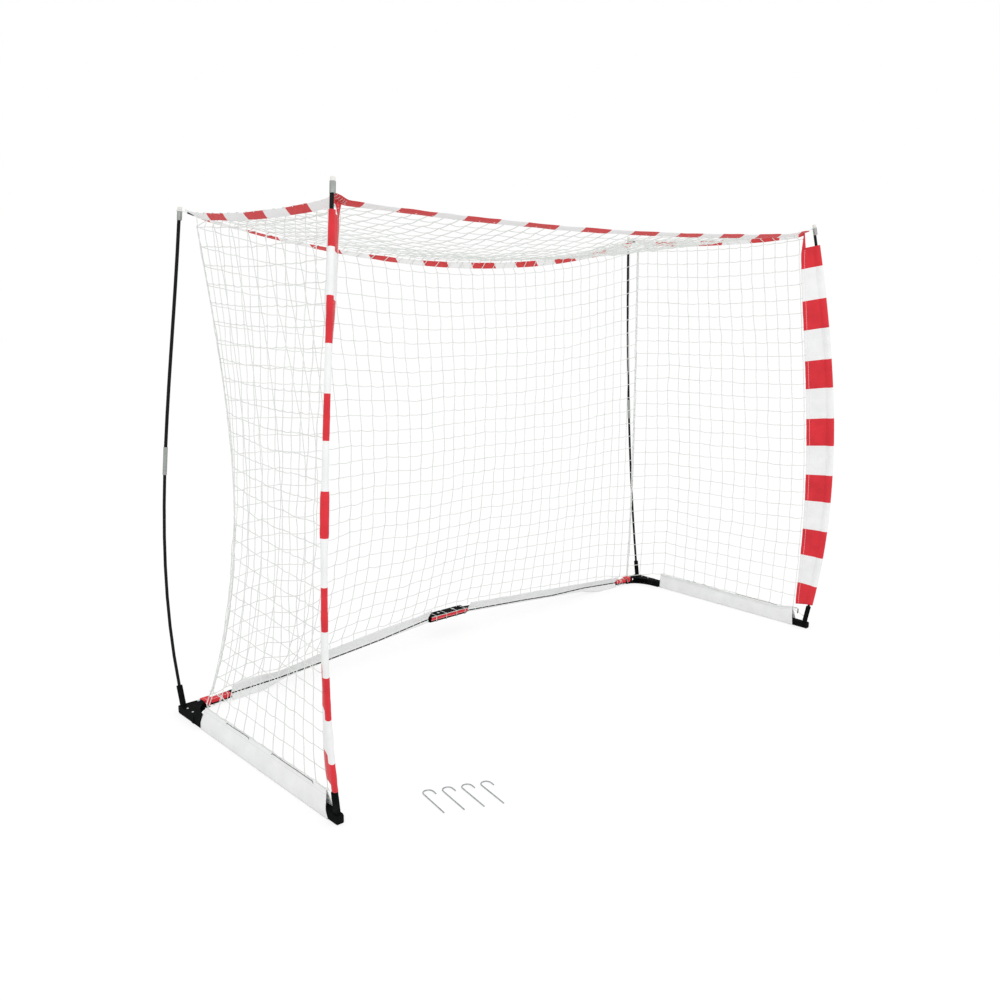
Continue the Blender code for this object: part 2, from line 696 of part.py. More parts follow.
def sleeve_edge(side, height):
    """The panel's inner edge, which the side net is sewn to."""
    inward, _ = sleeve_directions(side, height)
    return Pole(side, -1).at(height) + inward * sleeve_width(height)


def sleeve(side, name):
    """Flat panel of doubled cloth with a pocket for the pole along its outer edge."""
    pole = Pole(side, -1)
    reach = UPPER_POLE_RADIUS + POCKET_PLAY
    half = UPPER_POLE_RADIUS + POCKET_SIDE_PLAY
    outer, inner = [], []
    for step in range(SLEEVE_STATIONS + 1):
        height = between(SLEEVE_BOTTOM, sleeve_top(), step / SLEEVE_STATIONS)
        inward, across = sleeve_directions(side, height)
        centre = pole.at(height)
        width = sleeve_width(height)
        bag, cavity = [], []
        for turn in range(-3, 4):
            angle = math.radians(30 * turn)
            bag.append((-(reach + SLEEVE_CLOTH) * math.cos(angle), (half + SLEEVE_CLOTH) * math.sin(angle)))
            cavity.append((-reach * math.cos(angle), half * math.sin(angle)))
        bag += [(POCKET_SEAM + SLEEVE_CLOTH, half * 0.45), (width, SLEEVE_HEM)]
        bag += [(width, -SLEEVE_HEM), (POCKET_SEAM + SLEEVE_CLOTH, -half * 0.45)]
        cavity += [(POCKET_SEAM * 0.6, half * 0.6), (POCKET_SEAM, SLEEVE_CLOTH)]
        cavity += [(POCKET_SEAM, -SLEEVE_CLOTH), (POCKET_SEAM * 0.6, -half * 0.6)]
        outer.append([centre + inward * a + across * b for a, b in bag])
        inner.append([centre + inward * a + across * b for a, b in cavity])
    bm = bmesh.new()
    hollow_loft(bm, outer, inner)
    finish(bm, name, RED_CLOTH, origin=pole.at(SLEEVE_BOTTOM), smooth=True)


# Strips round the top

def sagging(start, end, sag, pull, share):
    """A point on a line that sags down and is pulled aside, most in the middle."""
    bow = 4 * share * (1 - share)
    return start.lerp(end, share) + Vector((0, 0, -sag * bow)) + pull * bow


def front_corner(side):
    tip = Pole(side, -1).tip
    return tip + Vector((-side * FRONT_STRAP_IN, FRONT_STRAP_BACK, -FRONT_STRAP_DROP))


def rear_corner(side):
    tip = Pole(side, 1).tip
    return tip - Vector((side * REAR_STRAP_IN, REAR_STRAP_FORWARD, REAR_STRAP_DROP))


def crossbar_line(share):
    return sagging(front_corner(-1), front_corner(1), CROSSBAR_SAG, Vector((0, CROSSBAR_PULL, 0)), share)


def rear_line(share):
    return sagging(rear_corner(-1), rear_corner(1), REAR_STRIP_SAG, Vector((0, -REAR_STRIP_PULL, 0)), share)


def side_line(side, share):
    return sagging(front_corner(side), rear_corner(side), SIDE_STRIP_SAG, Vector((0, 0, 0)), share)


def tape_section(centre, ahead, lean, width):
    """Four corners of a tape cut across its run. The lean is the direction of its width."""
    wide = lean * width / 2
    thick = ahead.cross(lean).normalized() * STRIP_CLOTH / 2
    return [centre + wide + thick, centre - wide + thick, centre - wide - thick, centre + wide - thick]


def strip(name, line, lean, first, last, stations):
    """A flat tape along part of a line."""
    lean = Vector(lean).normalized()
    sections = []
    for step in range(stations + 1):
        share = between(first, last, step / stations)
        ahead = line(share + 1e-3) - line(share - 1e-3)
        sections.append(tape_section(line(share), ahead, lean, STRIP_WIDTH))
    bm = bmesh.new()
    solid_loft(bm, sections)
    finish(bm, name, RED_CLOTH, origin=line(first))


def crossbar_strip(name):
    """The tape between the front corners, narrowed at its ends to the straps that hold the pole tips."""
    clear = STRIP_CORNER_GAP / (2 * front_corner(1).x)
    places = []
    for step in range(STRIP_STATIONS + 1):
        share = between(clear, 1 - clear, step / STRIP_STATIONS)
        places.append((crossbar_line(share), STRIP_WIDTH))
    for side in (-1, 1):
        start, stop = strap_ends(side, -1)
        ends = [(start, STRAP_WIDTH), (start.lerp(stop, STRAP_REACH), STRAP_WIDTH)]
        places = ends + places if side < 0 else places + ends[::-1]
    lean = Vector(CROSSBAR_LEAN)
    sections = []
    for i, (centre, width) in enumerate(places):
        ahead = places[min(i + 1, len(places) - 1)][0] - places[max(i - 1, 0)][0]
        sections.append(tape_section(centre, ahead, lean, width))
    bm = bmesh.new()
    solid_loft(bm, sections)
    finish(bm, name, RED_CLOTH, origin=crossbar_line(0.5))


def strips():
    crossbar_strip("crossbar_strip")
    half = STRIP_STATIONS // 2
    width = 2 * rear_corner(1).x
    clear = STRIP_CORNER_GAP / width
    middle = STRIP_CLOTH / width
    strip("rear_strip_left", rear_line, REAR_STRIP_LEAN, clear, 0.5 - middle, half)
    strip("rear_strip_right", rear_line, REAR_STRIP_LEAN, 0.5 + middle, 1 - clear, half)
    clear = STRIP_CORNER_GAP / (rear_corner(1).y - front_corner(1).y)
    for word, side in SIDES.items():
        lean = (side * SIDE_STRIP_LEAN[0], SIDE_STRIP_LEAN[1], SIDE_STRIP_LEAN[2])
        strip("side_strip_" + word, lambda share, s=side: side_line(s, share), lean, clear, 1 - clear, half)


# Nets

def coons(bottom, top, start, end):
    """A surface through four edge curves, each a function of its share."""

    def patch(u, v):
        low = bottom(0) * (1 - u) + bottom(1) * u
        high = top(0) * (1 - u) + top(1) * u
        edges = bottom(u) * (1 - v) + top(u) * v + start(v) * (1 - u) + end(v) * u
        return edges - low * (1 - v) - high * v

    return patch


def net(name, patch, gaps):
    """A lattice of cord over a surface, one hole to each of its gaps."""
    bm = bmesh.new()
    bmesh.ops.create_grid(bm, x_segments=gaps[0], y_segments=gaps[1], size=0.5)
    for vert in bm.verts:
        vert.co = patch(vert.co.x + 0.5, vert.co.y + 0.5)
    bm.normal_update()
    cells = bm.faces[:]
    bmesh.ops.inset_individual(bm, faces=cells, thickness=NET_CORD / 2, use_even_offset=True)
    bmesh.ops.delete(bm, geom=cells, context="FACES")
    bmesh.ops.recalc_face_normals(bm, faces=bm.faces[:])
    start = patch(0, 0)
    made = finish(bm, name, NET_CORD_WHITE, origin=start)
    cord = made.modifiers.new("cord", "SOLIDIFY")
    cord.thickness = NET_THICKNESS
    cord.offset = 0.0
    return made


def corner_line(side, share):
    """Where side net and back net meet: pulled inwards between foot and top."""
    x = side * (SIDE_BAR_X - CORNER_FOOT_IN)
    foot = Vector((x, REAR_BAR_Y - CORNER_FOOT_FORWARD, BAR_TOP + CORNER_FOOT_RISE))
    top = rear_corner(side) - Vector((0, CORNER_TOP_FORWARD, CORNER_TOP_DROP))
    bow = CORNER_BOW * math.sin(math.pi * share**CORNER_BOW_SKEW)
    return foot.lerp(top, share) + Vector((-side * bow, -bow, 0))


def skirt_top(side):
    """Upper edge of a side skirt, at its two ends."""
    x = side * (SIDE_BAR_X - SIDE_SKIRT_RIDGE_IN)
    rise = SIDE_SKIRT_HEIGHT + NET_SEAM
    return [Vector((x, y, rise)) for y in SIDE_SKIRT_ENDS]


def side_net(side, name):
    front_foot, rear_foot = skirt_top(side)
    low, high = front_foot.z, side_line(side, 0).z - NET_EDGE
    corner = corner_line(side, 0)

    def front(v):
        height = between(low, high, v)
        inward, _ = sleeve_directions(side, height)
        return sleeve_edge(side, height) + inward * (NET_SEAM + NET_CORD)

    def top(u):
        start, end = front(1), corner_line(side, 1)
        line = side_line(side, u) - Vector((0, 0, NET_EDGE))
        flat = side_line(side, 0).lerp(side_line(side, 1), u) - Vector((0, 0, NET_EDGE))
        return start.lerp(end, u) + Vector((0, 0, line.z - flat.z))

    def bottom(u):
        turn = 0.82
        if u < turn:
            return front(0).lerp(rear_foot, u / turn)
        return rear_foot.lerp(corner, (u - turn) / (1 - turn))

    def rear(v):
        return corner_line(side, v)

    return net(name, coons(bottom, top, front, rear), SIDE_NET_GAPS)


def back_edge(side, share):
    """The back net's own edge, just inside the corner line."""
    return corner_line(side, share) + Vector((-side * NET_SEAM, NET_SEAM, 0))


def back_net_patch():
    def bottom(u):
        start, end = back_edge(-1, 0), back_edge(1, 0)
        x = between(start.x, end.x, u)
        over = over_bar(x, REAR_BAR / 2 + REAR_SKIRT_RISE + NET_SEAM)
        inside = min(1.0, 4.0 * min(u, 1 - u) / 0.35)
        y = over.y - REAR_BAR / 2 - REAR_SKIRT_LEAN
        return Vector((x, between(start.y, y, inside), between(start.z, over.z, inside)))

    def top(u):
        line = rear_line(u) - Vector((0, 0, NET_EDGE))
        start, end = back_edge(-1, 1), back_edge(1, 1)
        inset = start.lerp(end, u)
        near = rear_corner(-1).lerp(rear_corner(1), u) - Vector((0, 0, NET_EDGE))
        return inset + (line - near)

    return coons(bottom, top, lambda v: back_edge(-1, v), lambda v: back_edge(1, v))


def back_net(side, name):
    """Half of the back net, split in the middle where the rear bar folds."""
    whole = back_net_patch()
    middle = NET_CORD / (2 * rear_corner(1).x)
    first, last = (0.0, 0.5 - middle) if side < 0 else (0.5 + middle, 1.0)
    return net(name, lambda u, v: whole(between(first, last, u), v), BACK_NET_GAPS)


def roof_net(name):
    inset = 0.9 * NET_EDGE

    def front(u):
        return crossbar_line(between(0.012, 0.988, u)) + Vector((0, inset, 0))

    def rear(u):
        return rear_line(between(0.012, 0.988, u)) + Vector((0, -inset, 0.006))

    def edge(side):
        def along(v):
            line = side_line(side, v)
            flat = side_line(side, 0).lerp(side_line(side, 1), v)
            share = 0 if side < 0 else 1
            return front(share).lerp(rear(share), v) + (line - flat)

        return along

    whole = coons(front, rear, edge(-1), edge(1))

    def sagged(u, v):
        droop = 16 * u * (1 - u) * v * (1 - v)
        return whole(u, v) - Vector((0, 0, ROOF_NET_SAG * droop))

    return net(name, sagged, ROOF_NET_GAPS)


# Skirts and covers

def band(name, profile_at, ends, stations, look, origin):
    """A cloth band along X or Y: profile_at gives its section at each station."""
    sections = [profile_at(between(*ends, step / stations)) for step in range(stations + 1)]
    bm = bmesh.new()
    solid_loft(bm, sections)
    finish(bm, name, look, origin=origin)


def thick_line(points, thickness):
    """Closed outline of a line of points in a plane, given a thickness to its left."""
    back = []
    for i, (a, b) in enumerate(points):
        before = points[max(i - 1, 0)]
        after = points[min(i + 1, len(points) - 1)]
        along = Vector((after[0] - before[0], after[1] - before[1])).normalized()
        back.append((a - along.y * thickness, b + along.x * thickness))
    return points + back[::-1]


def side_skirt(side, name):
    """Cloth folded over the side bar like a long tent, with its ridge above the bar."""
    reach = SIDE_BAR / 2 + GAP + SKIRT_CLOTH
    outer, inner = SIDE_BAR_X + reach, SIDE_BAR_X - reach
    ridge = SIDE_BAR_X - SIDE_SKIRT_RIDGE_IN
    knee = BAR_TOP + 2 * GAP
    line = [
        (outer, SKIRT_FLOOR_GAP),
        (outer, knee),
        (ridge + SIDE_SKIRT_RIDGE / 2, SIDE_SKIRT_HEIGHT),
        (ridge - SIDE_SKIRT_RIDGE / 2, SIDE_SKIRT_HEIGHT),
        (inner, knee),
        (inner, SKIRT_FLOOR_GAP),
    ]
    outline = thick_line(line, SKIRT_CLOTH)

    def section(y):
        return [Vector((side * x, y, z)) for x, z in outline]

    band(name, section, SIDE_SKIRT_ENDS, 1, WHITE_CLOTH, (side * BAR_OUTER_X, SIDE_SKIRT_ENDS[0], 0))


def rear_skirt(side, name):
    """Stands up in front of half of the rear bar and leans forward above it."""
    front = REAR_BAR / 2 + GAP
    line = [
        (-front, -REAR_BAR / 2),
        (-front, REAR_BAR / 2),
        (-front - REAR_SKIRT_LEAN * 0.5, REAR_BAR / 2 + REAR_SKIRT_RISE * 0.5),
        (-front - REAR_SKIRT_LEAN, REAR_BAR / 2 + REAR_SKIRT_RISE),
    ]
    outline = thick_line(line, SKIRT_CLOTH)

    def section(reach):
        return [by_bar(side, reach, a, b) for a, b in outline]

    first = COVER_START + COVER_LENGTH + SKIRT_END_GAP
    last = REAR_HALF + CENTRE_PIN_X - CENTRE_BRACKET_HALF - SKIRT_END_GAP
    band(name, section, (first, last), 6, WHITE_CLOTH, by_bar(side, 0, 0, 0))


def corner_cover(side, name):
    """Red cloth over the rear bar next to the corner bracket, open underneath."""
    near = REAR_BAR / 2 + 2 * GAP
    far = near + COVER_CLOTH
    outline = [(-far, -near), (-far, far), (far, far), (far, -near), (near, -near), (near, near)]
    outline += [(-near, near), (-near, -near)]

    def section(reach):
        return [by_bar(side, reach, a, b) for a, b in outline]

    ends = (COVER_START, COVER_START + COVER_LENGTH)
    band(name, section, ends, COVER_STATIONS, RED_CLOTH, by_bar(side, 0, 0, 0))


def centre_cover(name):
    """Red strip along the front of the centre bracket."""
    face = CENTRE_Y - CENTRE_BRACKET_FRONT - GAP
    bm = bmesh.new()
    half = CENTRE_COVER_HEIGHT / 2
    low = (-CENTRE_BRACKET_HALF, face - COVER_CLOTH, CENTRE_HEIGHT - half)
    box(bm, low, (CENTRE_BRACKET_HALF, face, CENTRE_HEIGHT + half))
    finish(bm, name, RED_CLOTH, origin=(0, face, CENTRE_HEIGHT))


# Straps and pegs

def strap_ends(side, end):
    """Where a strap starts beside the pole tip's ferrule, and the strips' corner it runs to."""
    pole = Pole(side, end)
    corner = front_corner(side) if end < 0 else rear_corner(side)
    hold = pole.neck + pole.tip_axis * TIP_FERRULE_LENGTH * 0.6
    away = (corner - hold).normalized()
    return hold + away * (TIP_RADIUS + STRAP_WIDTH / 2 + SLIDE_PLAY), corner


def rear_strap(side, name):
    """Cord from the rear pole's tip to the corner of the strips."""
    start, stop = strap_ends(side, 1)
    points = []
    for step in range(STRAP_POINTS):
        share = step / (STRAP_POINTS - 1)
        points.append(start.lerp(stop, share) - Vector((0, 0, 4 * STRAP_SAG * share * (1 - share))))
    tube(name, points, STRAP_RADIUS, RED_CLOTH, detail=2)


def peg(number):
    """A leg, a half-round hook and a short return, lying on the ground."""
    heading = Vector((math.cos(PEG_HEADING), math.sin(PEG_HEADING), 0))
    right = Vector((heading.y, -heading.x, 0))
    height = PEG_WIRE_RADIUS + GAP
    foot = Vector((PEG_FIRST[0] + PEG_STEP[0] * number, PEG_FIRST[1] + PEG_STEP[1] * number, height))
    shoulder = foot + heading * PEG_LEG
    middle = shoulder + right * PEG_BEND_RADIUS
    points = [foot, foot + heading * PEG_LEG * 0.5, shoulder]
    for step in range(1, PEG_BEND_POINTS + 1):
        angle = math.pi * step / PEG_BEND_POINTS
        offset = right * -math.cos(angle) + heading * math.sin(angle)
        points.append(middle + offset * PEG_BEND_RADIUS)
    points.append(points[-1] - heading * PEG_RETURN)
    tube(f"peg_{number + 1}", points, PEG_WIRE_RADIUS, ZINC, detail=2)


def centre_on_origin():
    """Moves the model so that the middle of its footprint is the origin."""
    bpy.context.view_layer.update()
    graph = bpy.context.evaluated_depsgraph_get()
    corners = []
    for thing in bpy.data.objects:
        if thing.hide_render:
            continue
        shown = thing.evaluated_get(graph)
        mesh = shown.to_mesh()
        corners += [shown.matrix_world @ vert.co for vert in mesh.vertices]
        shown.to_mesh_clear()
    middle_x = (min(c.x for c in corners) + max(c.x for c in corners)) / 2
    middle_y = (min(c.y for c in corners) + max(c.y for c in corners)) / 2
    for thing in bpy.data.objects:
        thing.location -= Vector((middle_x, middle_y, 0))
    print("footprint middle was at", round(middle_x, 5), round(middle_y, 5))


def build():
    clear_scene()
    low, high = centre_bracket_levels()
    for word, side in SIDES.items():
        side_bar(side, "side_bar_" + word)
        corner_bracket(side, "corner_bracket_" + word)
        pivot_pin("corner_pin_" + word, side * CORNER_PIN_X, REAR_BAR_Y, 0.0, PLATE_TOP, foot_head=False)
        pivot_pin("centre_pin_" + word, side * CENTRE_PIN_X, CENTRE_Y, low, high, foot_head=True)
        rear_bar(side, "rear_bar_" + word)
        for place, end, y in (("front", -1, RIVET_Y[0]), ("rear", 1, RIVET_Y[1])):
            end_cap(side, end, f"end_cap_{place}_{word}")
            rivet(side, y, f"rivet_{place}_{word}")
            poles(side, end, f"{place}_{word}")
        rear_strap(side, "rear_strap_" + word)
        sleeve(side, "sleeve_" + word)
        side_skirt(side, "side_skirt_" + word)
        rear_skirt(side, "rear_skirt_" + word)
        corner_cover(side, "corner_cover_" + word)
        side_net(side, "side_net_" + word)
        back_net(side, "back_net_" + word)
    centre_bracket("centre_bracket")
    centre_cover("centre_cover")
    strips()
    roof_net("roof_net")
    for number in range(PEG_COUNT):
        peg(number)
    centre_on_origin()


build()
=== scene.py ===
# %% [markdown]
# # Dressing a folding handball goal
# The goal is a ground frame of black steel bars, four sprung poles that stand in sockets on it, and a net
# with striped red and white cloth round its mouth. The frame, poles and pegs come in from a imported CAD
# model, and everything soft is made here. The imported model is loaded first because most new pieces ride
# on one of its bodies.

# %% Load the frame
import math

import bmesh
import bpy
from mathutils import Matrix, Vector, noise


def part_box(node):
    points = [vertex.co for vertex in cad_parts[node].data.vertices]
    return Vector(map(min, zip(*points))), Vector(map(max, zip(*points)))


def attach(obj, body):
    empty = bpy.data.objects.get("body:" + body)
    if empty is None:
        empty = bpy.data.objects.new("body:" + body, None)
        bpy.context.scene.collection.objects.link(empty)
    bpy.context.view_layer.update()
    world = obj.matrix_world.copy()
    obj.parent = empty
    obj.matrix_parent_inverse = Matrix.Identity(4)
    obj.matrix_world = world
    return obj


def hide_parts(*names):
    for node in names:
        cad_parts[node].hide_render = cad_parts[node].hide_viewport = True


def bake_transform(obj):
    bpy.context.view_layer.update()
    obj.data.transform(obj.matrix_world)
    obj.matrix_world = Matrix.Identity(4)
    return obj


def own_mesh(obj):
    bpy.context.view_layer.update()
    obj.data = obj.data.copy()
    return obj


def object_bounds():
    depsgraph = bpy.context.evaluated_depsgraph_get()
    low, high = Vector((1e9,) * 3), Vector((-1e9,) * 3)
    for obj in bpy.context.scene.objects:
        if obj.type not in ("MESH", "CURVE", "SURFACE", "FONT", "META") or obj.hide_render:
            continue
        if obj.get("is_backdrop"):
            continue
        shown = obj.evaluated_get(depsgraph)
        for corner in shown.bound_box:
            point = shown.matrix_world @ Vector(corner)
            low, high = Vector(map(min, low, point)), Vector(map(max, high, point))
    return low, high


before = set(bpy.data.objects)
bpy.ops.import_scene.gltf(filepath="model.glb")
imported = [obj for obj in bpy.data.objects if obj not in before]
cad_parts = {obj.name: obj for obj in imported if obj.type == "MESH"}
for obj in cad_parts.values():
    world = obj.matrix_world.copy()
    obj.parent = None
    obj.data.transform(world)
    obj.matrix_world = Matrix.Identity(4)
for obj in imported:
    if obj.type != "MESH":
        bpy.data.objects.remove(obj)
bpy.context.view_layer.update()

# %% [markdown]
# The goal is easiest to think of round the middle of its four sockets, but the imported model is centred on
# its whole footprint, pegs included. The side bar lies symmetrically about the sockets' middle, so the
# middle of its box tells how far the model was moved. Each finished piece is moved by the same amount
# once, at the end.

# %% Where the middle of the sockets lies
bar_low, bar_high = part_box("side_bar_left")
FRAME_SHIFT = Vector((0, (bar_low.y + bar_high.y) / 2, 0))
print("the model is moved by", [round(value, 4) for value in FRAME_SHIFT])

# %% [markdown]
# ## Camera
# The picture was taken from about head height, left of the goal and in front of it, with a moderately
# wide lens. A camera could be aimed with a constraint, but then its roll can't be set, so the view is
# built from its own three angles: the turn to the right, the tilt down and a slight roll.

# %% Camera at the picture's viewpoint
CAMERA_PLACE = Vector((-3.174, -3.180, 1.783))
CAMERA_TURN = 0.7476
CAMERA_TILT = -0.2116
CAMERA_ROLL = 0.0114
FOCAL_PIXELS = 980.96
PICTURE_PIXELS = 1000.0
SENSOR_WIDTH = 36.0


def camera_turned(turn, tilt, roll):
    """Rotation of a camera that looks along the turned and tilted direction."""
    ahead = Vector((math.sin(turn) * math.cos(tilt), math.cos(turn) * math.cos(tilt), math.sin(tilt)))
    right = Vector((math.cos(turn), -math.sin(turn), 0))
    up = right.cross(ahead)
    rolled_right = right * math.cos(roll) + up * math.sin(roll)
    rolled_up = up * math.cos(roll) - right * math.sin(roll)
    return Matrix((rolled_right, rolled_up, -ahead)).transposed()


camera_data = bpy.data.cameras.new("camera")
camera_data.sensor_width = SENSOR_WIDTH
camera_data.lens = SENSOR_WIDTH * FOCAL_PIXELS / PICTURE_PIXELS
camera = bpy.data.objects.new("camera", camera_data)
turned = camera_turned(CAMERA_TURN, CAMERA_TILT, CAMERA_ROLL).to_4x4()
camera.matrix_world = Matrix.Translation(CAMERA_PLACE + FRAME_SHIFT) @ turned
bpy.context.scene.collection.objects.link(camera)
bpy.context.scene.camera = camera
bpy.context.scene.view_settings.view_transform = "Standard"
print("lens", round(camera_data.lens, 2), "mm")

# %% [markdown]
# ## Nodes and colours
# Colours are written the way a paint chart gives them, as hex values of the screen's colour space. Cycles
# works in linear light, so one function turns them over. Another adds a node, sets it and links it. A Mix
# node has several inputs of one name, so its sockets are taken by number.

# %% Hex colours to linear, and a function that adds a node
MIX_FACTOR = 0
MIX_DARK = 6
MIX_LIGHT = 7
MIX_RESULT = 2


def linear(hex_colour):
    """Linear red, green, blue and full alpha from a hex colour such as d8232f."""
    channels = []
    for start in (0, 2, 4):
        value = int(hex_colour[start:start + 2], 16) / 255
        channels.append(value / 12.92 if value <= 0.04045 else ((value + 0.055) / 1.055) ** 2.4)
    return (*channels, 1.0)


def feed(tree, node, sources):
    """Links a source to each named input of a node."""
    for name, source in sources.items():
        tree.links.new(source, node.inputs[name])


def add_node(tree, kind, settings=None, links=None):
    """Adds a shader node of a kind, sets its options and inputs, and links the sockets that feed it."""
    node = tree.nodes.new("ShaderNode" + kind)
    for name, value in (settings or {}).items():
        if isinstance(name, int) or name in node.inputs:
            node.inputs[name].default_value = value
        else:
            setattr(node, name, value)
    feed(tree, node, links or {})
    return node


def two_shades(dark, light):
    """The settings with which a Mix node goes from one hex colour to another."""
    return {"data_type": "RGBA", MIX_DARK: linear(dark), MIX_LIGHT: linear(light)}


def new_finish(name, settings):
    """A material with its Principled shader set, its node tree, the shader and the Object coordinates."""
    made = bpy.data.materials.new(name)
    made.use_nodes = True
    tree = made.node_tree
    shader = tree.nodes["Principled BSDF"]
    for socket, value in settings.items():
        shader.inputs[socket].default_value = value
    place = add_node(tree, "TexCoord").outputs["Object"]
    return made, tree, shader, place


print("white cloth in linear light", [round(value, 3) for value in linear("ecebec")])

# %% [markdown]
# ## Powder-coated steel
# The bars, brackets and sockets are mild steel with a black powder coat: a baked polymer skin with the
# faint dimples called orange peel, about a millimetre and a half apart, and a half-matt gloss. A flat
# black would look like a hole in the picture, so the coat gets its dimples from a fine noise, a slow
# change of gloss where it was handled, and a little pale dust.

# %% Powder-coated steel
PEEL_SPACING = 0.0015
HANDLED_SCALE = 22.0


def powder_coated_steel():
    """A black skin with fine dimples, duller where it was handled and dusty in places."""
    settings = {"IOR": 1.5, "Specular IOR Level": 0.004}
    made, tree, shader, place = new_finish("powder_coated_black_steel", settings)
    peel = add_node(tree, "TexNoise", {"Scale": 1 / PEEL_SPACING, "Detail": 1.0}, {"Vector": place})
    handled = add_node(
        tree, "TexNoise", {"Scale": HANDLED_SCALE, "Detail": 5.0, "Roughness": 0.6}, {"Vector": place}
    ).outputs["Fac"]
    dust = add_node(tree, "MapRange", {"From Min": 0.52, "From Max": 0.74}, {"Value": handled})
    colour = add_node(tree, "Mix", two_shades("121313", "1f2121"), {MIX_FACTOR: dust.outputs["Result"]})
    gloss_range = {"From Min": 0.3, "From Max": 0.7, "To Min": 0.34, "To Max": 0.58}
    gloss = add_node(tree, "MapRange", gloss_range, {"Value": handled})
    bump = add_node(tree, "Bump", {"Strength": 0.35, "Distance": 0.00012}, {"Height": peel.outputs["Fac"]})
    feed(tree, shader, {
        "Base Color": colour.outputs[MIX_RESULT],
        "Roughness": gloss.outputs["Result"],
        "Normal": bump.outputs["Normal"],
    })
    return made


POWDER_COAT = powder_coated_steel()
print("finish", POWDER_COAT.name)

# %% [markdown]
# ## Moulded plastic, zinc plate and galvanised wire
# The bar ends are capped with black polypropylene, moulded against a spark-eroded tool that leaves a fine
# even grain. Rivets and pins are zinc-plated steel, a dull bluish white metal. The pegs are bent from
# galvanised wire, where the zinc has frozen in soft patches a few millimetres wide. The metals share one
# recipe: full metallic, a cell pattern for the patches, and a gloss that changes with it.

# %% Moulded plastic and zinc
def moulded_plastic(name, dark, light, roughness, shine, grain):
    """Plastic with the even grain of its mould and a slow drift of colour. Grain is in metres."""
    settings = {"Roughness": roughness, "IOR": 1.49, "Specular IOR Level": shine}
    made, tree, shader, place = new_finish(name, settings)
    fine = add_node(tree, "TexNoise", {"Scale": 1 / grain, "Detail": 2.0}, {"Vector": place})
    slow = add_node(tree, "TexNoise", {"Scale": 30.0, "Detail": 3.0}, {"Vector": place})
    colour = add_node(tree, "Mix", two_shades(dark, light), {MIX_FACTOR: slow.outputs["Fac"]})
    bump = add_node(tree, "Bump", {"Strength": 0.3, "Distance": 0.0001}, {"Height": fine.outputs["Fac"]})
    feed(tree, shader, {"Base Color": colour.outputs[MIX_RESULT], "Normal": bump.outputs["Normal"]})
    return made


def zinc_coated(name, patch, dark, light):
    """Metal whose zinc has set in patches of a size, each with its own shade and gloss."""
    made, tree, shader, place = new_finish(name, {"Metallic": 1.0, "Roughness": 0.4})
    cells = add_node(tree, "TexVoronoi", {"Scale": 1 / patch}, {"Vector": place})
    shade = add_node(tree, "SeparateColor", {}, {"Color": cells.outputs["Color"]}).outputs["Red"]
    colour = add_node(tree, "Mix", two_shades(dark, light), {MIX_FACTOR: shade})
    gloss = add_node(tree, "MapRange", {"To Min": 0.32, "To Max": 0.50}, {"Value": shade})
    feed(tree, shader, {"Base Color": colour.outputs[MIX_RESULT], "Roughness": gloss.outputs["Result"]})
    return made


CAP_PLASTIC = moulded_plastic("moulded_black_polypropylene", "101111", "181919", 0.6, 0.01, 0.0006)
TIP_NYLON = moulded_plastic("moulded_natural_nylon", "d9d8d2", "e8e7e2", 0.35, 0.5, 0.0008)
ZINC_PLATE = zinc_coated("zinc_plated_steel", 0.0015, "b4b8ba", "cfd2d3")
GALVANISED_WIRE = zinc_coated("galvanised_wire", 0.004, "8f9396", "bdc1c3")
print("finishes", CAP_PLASTIC.name, TIP_NYLON.name, ZINC_PLATE.name, GALVANISED_WIRE.name)

# %% [markdown]
# ## Glass-fibre rod and drawn tube
# The poles are pultruded glass fibre: resin and glass pulled through a die, so every mark on them runs
# lengthwise. The ferrules are short lengths of drawn aluminium tube, turned on a lathe at the ends, so
# their marks run round. Both come from the same trick, a noise that is squeezed in one direction and
# stretched in the other. The fibres are really 0.02 mm thick, and are drawn about 1 mm apart so that they
# can be seen at all.

# %% Glass-fibre rod and drawn aluminium tube
FIBRE_SPACING = 0.0010
FIBRE_LENGTH = 0.060
TURNING_SPACING = 0.0012
TURNING_WIDTH = 0.05


def pulled_or_turned(name, dark, light, settings, spacing, rough_low, rough_high):
    """Fine lines on Object coordinates: spacing gives their size along X, Y and Z."""
    made, tree, shader, place = new_finish(name, settings)
    scale = tuple(1 / size for size in spacing)
    sized = add_node(tree, "Mapping", {"Scale": scale}, {"Vector": place}).outputs["Vector"]
    lines = add_node(tree, "TexNoise", {"Scale": 1.0, "Detail": 2.0}, {"Vector": sized}).outputs["Fac"]
    sharper = {"From Min": 0.35, "From Max": 0.65}
    shade = add_node(tree, "MapRange", sharper, {"Value": lines}).outputs["Result"]
    colour = add_node(tree, "Mix", two_shades(dark, light), {MIX_FACTOR: shade})
    gloss_range = {**sharper, "To Min": rough_low, "To Max": rough_high}
    gloss = add_node(tree, "MapRange", gloss_range, {"Value": lines})
    bump = add_node(tree, "Bump", {"Strength": 0.25, "Distance": 0.00008}, {"Height": lines})
    feed(tree, shader, {
        "Base Color": colour.outputs[MIX_RESULT],
        "Roughness": gloss.outputs["Result"],
        "Normal": bump.outputs["Normal"],
    })
    return made


